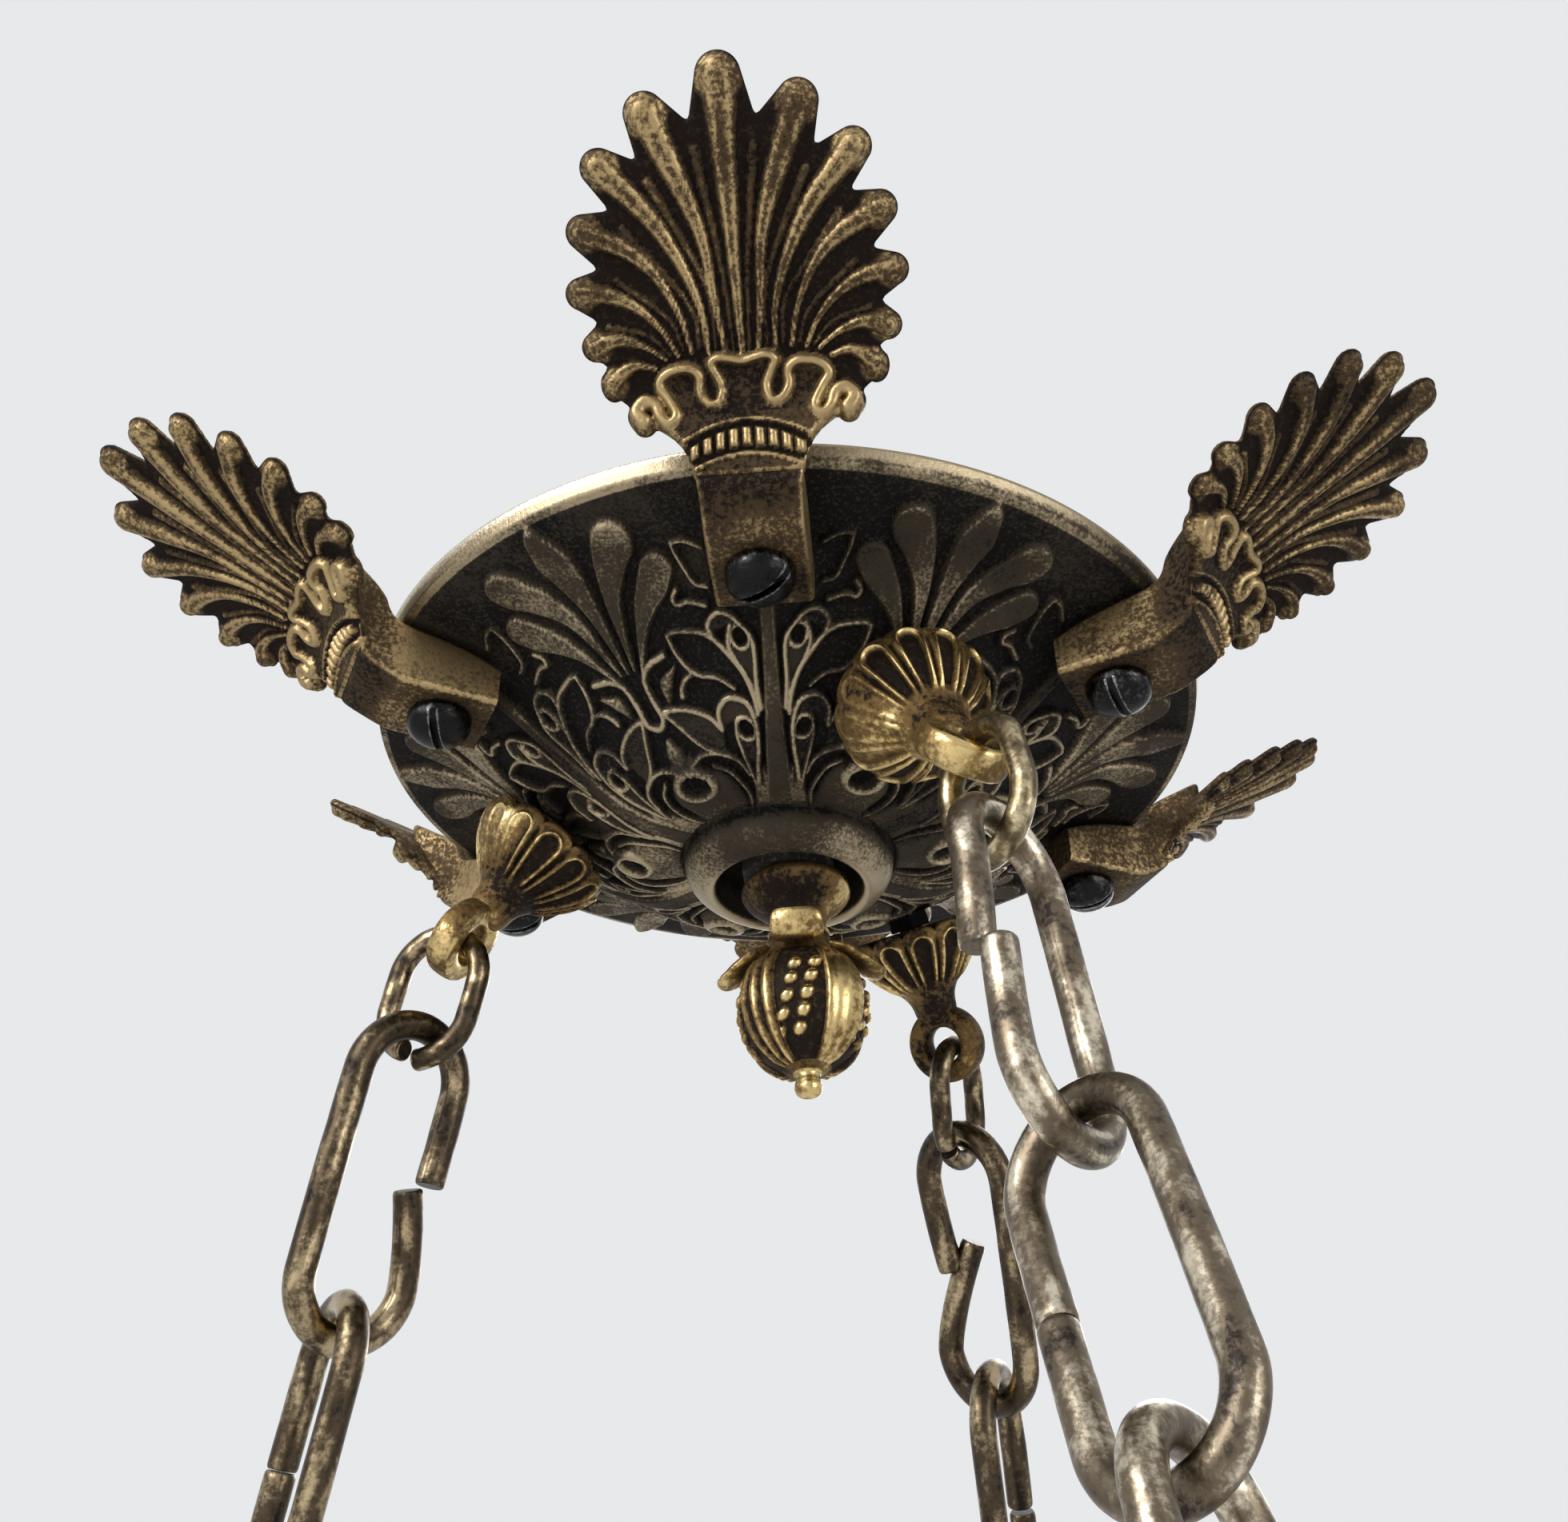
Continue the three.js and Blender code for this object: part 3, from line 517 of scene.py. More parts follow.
# Lobes of the palmette: centre lines from the root to the tip, as distance up the blade and sideways.
lobes = [
    ([(3, 0), (20, 0), (44.0, 0)], [0.5, 1.5, 3.35]),
    ([(4.5, 2.6), (12, 3.5), (21.5, 4.6), (30, 7.4), (39.6, 11.4)], [0.45, 0.8, 1.4, 2.3, 3.1]),
    ([(4.5, 5.2), (11, 5.8), (18, 8.2), (25.5, 12.5), (32.6, 19.1)], [0.45, 0.8, 1.3, 2.1, 2.8]),
    ([(4.6, 7.8), (10.2, 9.1), (16.5, 12.2), (20.8, 16.6), (23.6, 22.6)], [0.45, 0.7, 1.2, 2.0, 2.6]),
    ([(4.2, 10.0), (8.4, 12.2), (12.0, 15.6), (14.2, 19.8), (14.6, 24.0)], [0.4, 0.7, 1.2, 1.9, 2.4]),
    ([(3.8, 12.0), (5.8, 14.6), (7.2, 18.0), (7.2, 20.6), (6.4, 22.7)], [0.4, 0.7, 1.3, 1.9, 2.2]),
    ([(2.6, 13.8), (3.3, 16.4), (2.6, 18.6), (0.9, 20.6)], [0.5, 1.0, 1.6, 2.0]),
]
fillets = [
    ([(4.5, 1.2), (16, 1.9), (34, 4.4)], [0.25, 0.4, 0.8]),
    ([(5, 4.0), (15, 4.8), (30, 11.8)], [0.25, 0.4, 0.8]),
    ([(5, 6.5), (12, 7.6), (23.5, 16.4)], [0.25, 0.4, 0.7]),
    ([(5, 9.0), (10, 11.0), (16.2, 18.2)], [0.25, 0.35, 0.6]),
    ([(4.4, 11.2), (7.6, 14.2), (9.4, 20.2)], [0.25, 0.35, 0.55]),
]
# Bottoms of the notches between the fingers, and the side of the neck below the last one.
notches = [(37.9, 5.0), (33.1, 13.3), (26.4, 18.2), (18.0, 20.9), (10.2, 21.8), (3.4, 21.0), (-2.0, 18.2)]
neck_side = [(-3.6, 16.4), (-5.6, 14.5), (-6.7, 12.9), (-7.8, 11.5), (-9.2, 10.3), (-11.0, 9.4), (-12.6, 8.9),
             (-14.6, 8.6)]
# The scroll band between the palmette's root and the row of bars, in radii of the dish.
serpent = 80 * np.array(
    [
        (-0.064, 0.200), (-0.044, 0.212), (-0.024, 0.197), (-0.033, 0.176), (-0.057, 0.167), (-0.073, 0.151),
        (-0.057, 0.134), (-0.021, 0.151), (0.003, 0.166), (0.024, 0.147), (0.030, 0.109), (0.015, 0.087),
        (-0.014, 0.087), (-0.038, 0.071), (-0.039, 0.051), (-0.011, 0.043), (0.018, 0.055), (0.036, 0.062),
        (0.046, 0.044), (0.038, 0.007), (0.037, 0.0),
    ]
)


def tapered(points, widths, per=7):
    path = smooth_line(points, per)
    return path, np.interp(np.linspace(0, 1, len(path)), np.linspace(0, 1, len(widths)), widths)


def blend(a, b, size):
    """Union of two signed depths with a rounded inner corner."""
    h = clamp(0.5 + 0.5 * (a - b) / size)
    return b + (a - b) * h + size * h * (1 - h)


lobe_strokes = [tapered(*lobe) for lobe in lobes]
fillet_strokes = [tapered(*fillet) for fillet in fillets]
FLANK = 0.55  # how much narrower than the plate's finger a lobe is at its tip
BAR_STEP = 2.06
FOOT_CORNER = 1.1  # radius of the foot's rounded edges
PLATE_CELL, PLATE_CELL_QUICK = 0.34, 0.62


def palmette_outline():
    """The outline up one side of the palmette, round each finger and notch, and its mirror image."""
    arcs = []
    for k, (path, width) in enumerate(lobe_strokes):
        way = math.atan2(path[-1, 1] - path[-3, 1], path[-1, 0] - path[-3, 0])
        angles = way + np.radians(np.linspace(0 if k == 0 else -72, 72, 7 if k == 0 else 13))
        arcs.append(path[-1] + (width[-1] + 0.1) * np.stack([np.cos(angles), np.sin(angles)], -1))
    side = []
    for arc, notch, following in zip(arcs, np.array(notches), arcs[1:] + [np.array(neck_side[:1])]):
        side.append(arc)
        ends = [notch + 1.0 * (end - notch) / np.linalg.norm(end - notch) for end in (arc[-1], following[0])]
        side.append([ends[0], 0.5 * notch + 0.25 * (ends[0] + ends[1]), ends[1]])
    side = np.vstack(side + [neck_side])
    return np.vstack([side, side[:0:-1] * [1, -1]])


outline_corners = palmette_outline()
serpent_path = smooth_line(serpent, 5)
serpent_width = np.interp(np.arange(len(serpent_path)), [0, 10, 25, len(serpent_path)], [1.5, 1.3, 1.1, 0.95])


def plate_depth(p):
    """How far a point of the flattened palmette lies inside its outline."""
    q = np.stack([p[:, 0], np.abs(p[:, 1])], -1)
    scroll = near_lines(q, [(serpent_path[:14], serpent_width[:14] + 0.35)])
    return blend(inside_polygon(q, outline_corners), scroll, 0.7)


def plate_relief(p):
    """Height above the ground of the palmette's front, and its wear."""
    q = np.stack([p[:, 0], np.abs(p[:, 1])], -1)
    height = np.zeros(len(p))
    wear = np.full(len(p), 0.08)

    def lay(h, w):
        nonlocal height, wear
        over = h > height
        height = np.where(over, h, height)
        wear = np.where(over, w, wear)

    for path, width in lobe_strokes:
        top = np.maximum(width - FLANK * np.linspace(0, 1, len(width)) ** 0.8, 0.4)
        d = near_lines(q, [(path, top)])
        inner = np.interp(
            np.linalg.norm(q - path[0], axis=1), np.linalg.norm(path - path[0], axis=1), top
        )
        rel = clamp(d / inner)
        round_top = np.sqrt(1 - (1 - clamp(rel / 0.85)) ** 2)
        tall = np.clip(0.55 + 0.62 * inner, 0, 1.75)
        edge = np.exp(-(((rel - 0.45) / 0.3) ** 2))
        out = np.linalg.norm(q - path[0], axis=1) / np.linalg.norm(path[-1] - path[0])
        dull = 0.15 * clamp((out - 0.62) / 0.3)
        lay(np.where(d > 0, tall * round_top, 0), 0.2 + (0.33 - dull) * round_top + 0.44 * edge * round_top)
    d = near_lines(q, fillet_strokes)
    lay(0.75 * swell(d, 0.5), np.full(len(p), 0.42))
    # the scroll band and its ground
    ground = inside_polygon(
        q, [(-6.2, 0), (3.2, 0), (3.2, 5.5), (0.6, 8), (1.8, 11), (-0.5, 13.5), (-4, 12), (-6.4, 9.5)]
    )
    lay(np.where(ground > -0.6, 0.75 * swell(ground + 0.6, 0.8), 0), np.full(len(p), 0.3))
    d = near_lines(q, [(serpent_path, serpent_width)])
    lay(np.where(d > 0, 2.15 * swell(d, 1.0), 0), 0.45 + 0.6 * swell(d, 0.9))
    # the row of bars over the collar
    sag = 2.3 * (q[:, 1] / 8.8) ** 2
    across = q[:, 0] + 8.6 + sag
    trench = swell(2.3 - np.abs(across), 0.5) * (q[:, 1] < 10.4)
    base = np.where(q[:, 0] < -4.0, 1.15, 0.0) * clamp((-4.0 - q[:, 0]) / 0.8)
    lay(base, np.full(len(p), 0.34))
    height = height - 0.85 * trench * (base > 0)
    wear = np.where(trench > 0.5, 0.04, wear)
    phase = np.abs((q[:, 1] / BAR_STEP + 0.5) % 1 - 0.5) * BAR_STEP
    size = 1.6 - 0.5 * (q[:, 1] / 8.8) ** 2
    bar = np.minimum(0.76 - phase, size - np.abs(across))
    lay(np.where((bar > 0) & (q[:, 1] < 9.3), 0.3 + 1.25 * swell(bar, 0.5), 0), 0.5 + 0.5 * swell(bar, 0.4))
    for offset, half_width, tall in ((2.75, 0.42, 1.5), (-2.9, 0.5, 1.6)):
        d = half_width - np.abs(across - offset)
        lay(np.where((d > 0) & (q[:, 1] < 10.6), tall * swell(d, half_width), 0), 0.45 + 0.45 * swell(d, half_width))
    return height, wear


foot_side = [  # front and back of the casting, as radius and height, with its half width
    ((61.5, -14.0), (61.5, -6.2), 8.2), ((64, -14.0), (64, -5.0), 8.2), ((68, -14.0), (68, -3.6), 8.2),
    ((73, -14.0), (73, -2.4), 8.2), ((77.2, -14.0), (77.0, -1.7), 8.15), ((79.8, -13.4), (79.2, -1.2), 8.1),
    ((82.2, -12.2), (81.2, -0.2), 8.1), ((84.4, -11.0), (82.3, 1.4), 8.2), ((86.2, -9.6), (83.0, 3.6), 8.4),
    ((86.6, -7.2), (84.6, 5.4), 9.0), ((87.6, -4.2), (86.6, 6.6), 10.2), ((89.0, -1.2), (88.6, 7.5), 11.6),
    ((90.6, 2.0), (90.6, 8.5), 13.2), ((92.0, 4.6), (92.6, 9.6), 14.0), ((94.0, 6.4), (94.2, 9.6), 12.0),
]


def bracket_warp(points, turned, bend, swing):
    """Points given as radius, side and height, bent, swung and turned as the bracket sits."""
    p = np.array(points, float)
    r = p[:, 0].copy()
    a = np.radians(bend) * clamp((r - 80) / 14)
    x, z = p[:, 0] - SCREW_CIRCLE, p[:, 2] - FOOT_UNDERSIDE
    p[:, 0] = SCREW_CIRCLE + x * np.cos(a) - z * np.sin(a)
    p[:, 2] = FOOT_UNDERSIDE + x * np.sin(a) + z * np.cos(a)
    a = np.radians(swing) * clamp((r - 82) / 12)
    x, y = p[:, 0] - NECK_RADIUS, p[:, 1]
    p[:, 0], p[:, 1] = NECK_RADIUS + x * np.cos(a) - y * np.sin(a), x * np.sin(a) + y * np.cos(a)
    p[:, 0] -= SCREW_CIRCLE
    p = turn(p, turned)
    p[:, 0] += SCREW_CIRCLE
    return p


def front_line(s):
    """Point and outward normal, as radius and height, of the palmette's front at a distance up it."""
    s = np.asarray(s, float)
    steep = np.array([0.4536, 0.891])
    slope = np.array([math.cos(PALMETTE_SLOPE), math.sin(PALMETTE_SLOPE)])
    table = np.arange(-20.0, 60.0, 0.25)
    f = clamp((table + 3.0) / 6.0)
    f = f * f * (3 - 2 * f)
    direction = unit(steep * (1 - f)[:, None] + slope * f[:, None])
    place = np.cumsum(direction, 0) * 0.25
    k = np.argmin(np.abs(table - 20.0))
    place += PALMETTE_FOOT + slope * 20.0 - place[k]
    point = np.stack([np.interp(s, table, place[:, i]) for i in (0, 1)], -1)
    normal = np.stack([np.interp(s, table, direction[:, 1]), -np.interp(s, table, direction[:, 0])], -1)
    return point, normal


def plate_template(cell):
    """The palmette as a closed mesh over its flattened outline: places, heights, wear and faces."""
    s = np.arange(-15.0, 49.0, cell)
    y = np.arange(-28.5, 28.5 + cell / 2, cell)
    grid_s, grid_y = np.meshgrid(s, y, indexing="ij")
    p = np.stack([grid_s.ravel(), grid_y.ravel()], -1)
    depth = plate_depth(p)
    ns, ny = len(s), len(y)
    i, j = np.meshgrid(np.arange(ns - 1), np.arange(ny - 1), indexing="ij")
    corner = (i * ny + j).ravel()
    cells = np.stack([corner, corner + ny, corner + ny + 1, corner + 1], -1)
    cells = cells[depth[cells].mean(1) > 0]
    sides = np.concatenate([cells[:, [0, 1]], cells[:, [1, 2]], cells[:, [2, 3]], cells[:, [3, 0]]])
    key = np.sort(sides, 1)
    _, first, counts = np.unique(key[:, 0] * (ns * ny) + key[:, 1], return_index=True, return_counts=True)
    border = sides[first[counts == 1]]
    rim = np.unique(border)
    step = 0.02
    for _ in range(4):
        d = plate_depth(p[rim])
        gs = (plate_depth(p[rim] + [step, 0]) - d) / step
        gy = (plate_depth(p[rim] + [0, step]) - d) / step
        size = np.maximum(gs**2 + gy**2, 0.2)
        move = -np.stack([gs, gy], -1) * (d / size)[:, None]
        p[rim] += np.clip(move, -0.6 * cell, 0.6 * cell)
    used = np.unique(cells)
    index = np.full(ns * ny, -1)
    index[used] = np.arange(len(used))
    p, cells, border = p[used], index[cells], index[border]
    depth = np.maximum(plate_depth(p), 0)
    height, wear = plate_relief(p)
    # the outline is rounded over, and its rounded edge is worn bright
    edge = clamp(depth / 1.1)
    drop = 1 - np.sqrt(1 - (1 - edge) ** 2)
    front = height - 1.7 - drop * np.minimum(1.1, 0.5 + height)
    wear = np.where((edge < 0.8) & (height > 0.3), np.maximum(wear, 0.7), wear)
    tips = np.array([path[-1] for path, _ in lobe_strokes])
    q = np.stack([p[:, 0], np.abs(p[:, 1])], -1)
    from_tip = np.linalg.norm(q[:, None] - tips[None], axis=2) - [width[-1] for _, width in lobe_strokes]
    rubbed = clamp((0.9 - from_tip.min(1)) / 0.8) * clamp(depth / 0.25)
    wear = np.maximum(wear, 0.6 * rubbed)
    back = -PALMETTE_THICK + 0.8 * (1 - np.sqrt(1 - (1 - clamp(depth / 0.9)) ** 2))
    return p, front, back, wear, cells, border


template = plate_template(PLATE_CELL)


def bracket_shell(turned, bend, swing, shine):
    shell = Shell()
    p, front, back, wear, cells, border = template
    place, normal = front_line(p[:, 0])

    def lifted(h):
        line = place + normal * h[:, None]
        return np.stack([line[:, 0], p[:, 1], line[:, 1]], -1)

    n = len(p)
    verts = np.vstack([lifted(front), lifted(back)])
    walls = np.stack([border[:, 0], border[:, 0] + n, border[:, 1] + n, border[:, 1]], -1)
    faces = np.vstack([cells, cells[:, ::-1] + n, walls])
    shell.add(verts, faces, np.concatenate([wear, np.full(n, 0.5)]))
    # foot, knuckle and neck: a rounded bar of changing section
    stations = np.array([(*f, *b, w) for f, b, w in foot_side])
    t = np.linspace(0, len(stations) - 1, 64)
    stations = np.stack([np.interp(t, np.arange(len(stations)), stations[:, k]) for k in range(5)], -1)
    kernel = np.array([1, 2, 3, 2, 1]) / 9
    for k in range(5):
        stations[2:-2, k] = np.convolve(stations[:, k], kernel, "valid")
    a = np.radians(np.arange(0, 91, 15))
    inset, sink = FOOT_CORNER * (1 - np.sin(a)), FOOT_CORNER * (1 - np.cos(a))
    rows = []
    for fr, fz, br, bz, half in stations:
        thick = math.hypot(br - fr, bz - fz)
        side = half - inset
        y = np.concatenate([side, side[::-1], -side, -side[::-1]])
        deep = np.concatenate([sink, thick - sink[::-1], thick - sink, sink[::-1]]) / thick
        rows.append(np.stack([fr + (br - fr) * deep, y, fz + (bz - fz) * deep], -1))
    rows = np.array(rows)
    corner_wear = [0.0, 0.15, 0.35, 0.5, 0.45, 0.35, 0.3]
    value = np.tile(np.array((corner_wear + corner_wear[::-1]) * 2), (len(rows), 1))
    face = np.interp(stations[:, 0], [62, 68, 73, 79, 82.5, 85.5], [0.42, 0.36, 0.47, 0.48, 0.28, 0.2])
    value = value + face[:, None]
    value[:, 7:21] = np.maximum(value[:, 7:21], 0.48)  # the back, as rubbed as the palmette's
    shell.grid(rows, value, wrap_v=True)
    shell.cap(rows[0], 0.6, flip=True)
    shell.cap(rows[-1], 0.4)
    shell.wear = [w + shine * clamp(2 * w) for w in shell.wear]
    return shell.moved(lambda v: bracket_warp(v, turned, bend, swing))


for i, sits in enumerate(BRACKETS):
    piece(
        f"palmette_{i + 1}", bracket_shell(*sits), bracket_brass, "crown",
        [f"palmette_bracket_{i + 1}"], FIRST_BRACKET + BRACKET_STEP * i,
    )

# ---------- bracket screws ----------
SCREW_RADIUS, SCREW_TALL, SCREW_SIDE, SLOT_HALF, SLOT_DEPTH = 5.75, 5.1, 1.2, 0.67, 1.9


def screw_shell():
    shell = Shell()
    lines = np.concatenate(
        [np.linspace(-5.6, -0.9, 22), [-0.74, -0.66, -0.6, -0.56, -0.4, 0, 0.4, 0.56, 0.6, 0.66, 0.74],
         np.linspace(0.9, 5.6, 22)]
    )
    rows = []
    for u in lines:
        reach = math.sqrt(max((SCREW_RADIUS - 0.08) ** 2 - u * u, 0.0))
        v = reach * np.sin(np.linspace(-1, 1, 41) * math.pi / 2)
        r = np.hypot(u, v)
        z = -SCREW_SIDE - (SCREW_TALL - SCREW_SIDE) * np.sqrt(clamp(1 - (r / SCREW_RADIUS) ** 2.2))
        slot = clamp((SLOT_HALF - abs(u)) / 0.1)
        z = z + (SLOT_DEPTH - SCREW_TALL - z) * slot * (z < SLOT_DEPTH - SCREW_TALL)
        rows.append(np.stack([np.full_like(v, u), v, z], -1))
    rows = np.array(rows)
    # The slot's edges are painted bright, as a highlight.
    u = np.abs(rows[..., 0])
    wear = np.where(u < 0.6, 0.05, np.where(u < 0.92, 0.8, 0.44))
    shell.grid(rows, wear)
    side = [(5.4, -2.3), (5.66, -1.45), (5.75, -0.9), (5.75, -0.1), (5.6, 0), (2.9, 0), (2.9, 15.5)]
    revolve(shell, side, 64, 0.55, True)
    thread = [(2.9 if k % 2 else 2.45, 15.5 + 0.5 * k) for k in range(14)]
    revolve(shell, thread + [(2.1, 22.8), (0.01, 23.0)], 32, 0.5, True)
    return shell


for i in range(6):
    shell = screw_shell().moved(
        lambda v, i=i: turn(v, 37 * i - 32) + [SCREW_CIRCLE, 0, FOOT_UNDERSIDE - 0.3]
    )
    piece(
        f"foot_screw_{i + 1}", shell, black_steel, "crown",
        [f"bracket_screw_{i + 1}"], FIRST_BRACKET + BRACKET_STEP * i,
    )

# ---------- chain cups ----------
CUP_MOUTH = np.array([47.1, 0.0, -20.2])
EYE_CENTRE, EYE_HOLE, EYE_HALF_HIGH, EYE_HALF_WIDE = 24.5, 3.6, 2.2, 2.9
FLUTES = 12
FLUTE_END, FLUTE_WIDE = 4.6, 0.66  # distance of its round end from the mouth, share of its spacing
CUP_LEANS = [37.5, 30.8, 35.7]
CUP_WORN_SIDES = [-65, None, 125]  # where the flutes are rubbed away, in degrees round the cup
CUP_SHADES = [(1.0, 0.95), (0.8, 0.45), (0.85, 0.95)]  # how much shine the flutes and the eye have kept


def cup_shell(worn_side, shade):
    shell = Shell()
    outer = np.array(
        [(13.2, -0.3), (13.75, 0.3), (13.7, 1.4), (13.35, 2.8), (12.7, 4.4), (11.8, 6.0), (10.6, 7.6), (9.2, 9.2),
         (7.6, 10.9), (6.2, 12.5), (5.1, 14.2), (4.6, 15.8), (4.45, 17.2), (4.1, 18.5), (3.2, 19.7), (1.6, 20.4)]
    )
    line, s, out = smooth_profile(outer, 8)
    count = 36 * FLUTES
    a = np.arange(count) * 2 * math.pi / count
    cell = np.abs((a * FLUTES / (2 * math.pi) + 0.5) % 1 - 0.5) * 2
    ss, cc = np.meshgrid(s, cell, indexing="ij")
    half = line[:, :1] * math.pi / FLUTES
    across = cc * half
    # a flute: straight sides that narrow toward the neck, with a round end at the mouth
    wide = FLUTE_WIDE * half
    round_end = wide[np.argmin(np.abs(s - FLUTE_END))] - np.hypot(across, (FLUTE_END - ss) * 0.95)
    d = np.where(ss < FLUTE_END, round_end, wide - across)
    tail = clamp((15.6 - ss) / 2.5)
    bead = np.exp(-((d / 0.42) ** 2))
    hollow = clamp(d / 0.7)
    height = (0.62 * bead - 0.75 * hollow * (1 - bead)) * tail
    seam = np.exp(-((((1 - cc) * half) / 0.33) ** 2)) * tail * clamp((ss - 2.5) / 2)
    height = height - 0.55 * seam
    wear = np.clip(0.5 + 0.55 * bead * tail - 0.55 * hollow * (1 - bead) * tail - 0.45 * seam, 0, 1.1)
    if worn_side is not None:
        off = np.abs((np.degrees(a) - worn_side + 180) % 360 - 180)[None, :]
        rubbed = clamp((46 - off) / 16) * clamp((16 - ss) / 3)
        height = height * (1 - 0.8 * rubbed)
        wear = wear + (0.72 - wear) * 0.85 * rubbed
    scallop = clamp((2.6 - ss) / 2.6) * (1 - np.sqrt(clamp(1 - cc**2.4)))
    radius = line[:, :1] + out[:, :1] * height - 0.55 * scallop
    level = line[:, 1:] + out[:, 1:] * height + 1.5 * scallop
    shell.grid(np.stack([radius * np.cos(a), radius * np.sin(a), level], -1), wear, wrap_v=True)
    inner = [(13.2, -0.3), (12.5, 0.2), (11.9, 1.6), (10.6, 3.6), (7.5, 6.4), (4.4, 8.6), (0.01, 9.0)]
    revolve(shell, inner, count, 0.1, True)
    # the eye: a flattened belt round a hole
    ring_radius, turns, steps = EYE_HOLE + EYE_HALF_HIGH, 96, 28
    b = np.linspace(0, 2 * math.pi, turns, endpoint=False)[:, None]
    c = np.linspace(0, 2 * math.pi, steps, endpoint=False)[None, :]
    x = EYE_HALF_WIDE * np.sign(np.sin(c)) * np.abs(np.sin(c)) ** 0.6
    r = ring_radius - EYE_HALF_HIGH * np.sign(np.cos(c)) * np.abs(np.cos(c)) ** 0.7
    squeeze = 1 - 0.1 * clamp(-np.cos(b))
    eye = np.stack([x * squeeze * np.ones_like(b), r * np.sin(b), EYE_CENTRE + r * np.cos(b)], -1)
    shell.grid(eye, 0.62 + 0.25 * (np.abs(x) > 2.2) * np.ones_like(b), wrap_u=True, wrap_v=True)
    neck = clamp((shell.verts[0][:, 2] - 12.5) / 3)
    shell.wear[0] = shell.wear[0] * (shade[0] + (shade[1] - shade[0]) * neck)
    shell.wear[-1] = shell.wear[-1] * shade[1]
    return shell


for i, lean in enumerate(CUP_LEANS):
    shell = cup_shell(CUP_WORN_SIDES[i], CUP_SHADES[i]).moved(lambda v, lean=lean: turn(v, 180 - lean, "y") + CUP_MOUTH)
    piece(
        f"fluted_cup_{i + 1}", shell, gilded_brass, "crown",
        [f"chain_cup_{i + 1}"], FIRST_CHAIN + CHAIN_STEP * i,
    )

# ---------- chains ----------
RING = {"wire": 4.2, "inner": 19.4, "width": 12.2}
LINK = {"wire": 5.4, "inner": 50.0, "width": 15.2}
LINK_GAP = 0.7
# Each piece: outward and sideways lean, twist, the side its cut is in, how far up the cut is and how wide, and
# where its upper and lower ends stand: out of its plane, across it and up. Cuts at the bottom have side 0.
STILL = (0, 0, 0)
EYE_PLAY = 0.2  # between a ring and the eye it swings in
CHAINS = [
    [(14, 0, -3, 0, 0, 1.6, (0.2, 0, 0), (-0.2, 0, 0)), (10, 1, 67, 1, -0.9, 0.7, (-2.0, 0, 0), (1.4, 0, 0)),
     (24, -7, -18, -1, 0, 0.15, (0.1, 0.1, 0), STILL), (17, -3, 68, -1, 0, 1.4, (-0.2, 0.2, 0), STILL)],
    [(25, 13.5, 0, 0, 0, 1.6, (0.2, 0, 0), STILL), (29, 12, 110, -1, 0, 1.4, (1.7, 1.6, -2.4), (6.0, 5.0, 4.2)),
     (29, 12, -8, 1, -3.5, 1.0, (0.3, 0.3, 0), STILL), (27, 11, 85, -1, 0, 1.4, (-0.2, 0.2, 0), STILL)],
    [(12.7, -8.7, 14, 2, 1.0, 2.6, (0.3, 0, 0.6), (-0.3, 0, -0.5)), (12.2, -11, -53, -1, 0, 1.4, (0.5, 0.7, 0.4),
                                                                        (0, 4.5, 0.2)),
     (12.2, -11, 53, 1, 0, 0.25, STILL, STILL), (12, -11, -40, 1, 0, 1.4, (0.2, 0.1, 0), STILL)],
]
SIDES, STREAK_LONG = 26, 13


def streaks(rows, seed):
    """Rubbed streaks along a wire: a random field drawn out along its length."""
    field = np.random.default_rng(seed).normal(size=(rows, SIDES))
    kernel = np.hanning(STREAK_LONG + 2)
    field = np.apply_along_axis(lambda v: np.convolve(v, kernel, "same"), 0, field)
    field = field + 0.6 * (np.roll(field, 1, 1) + np.roll(field, -1, 1))
    return np.clip(field / field.std(), -2, 2)


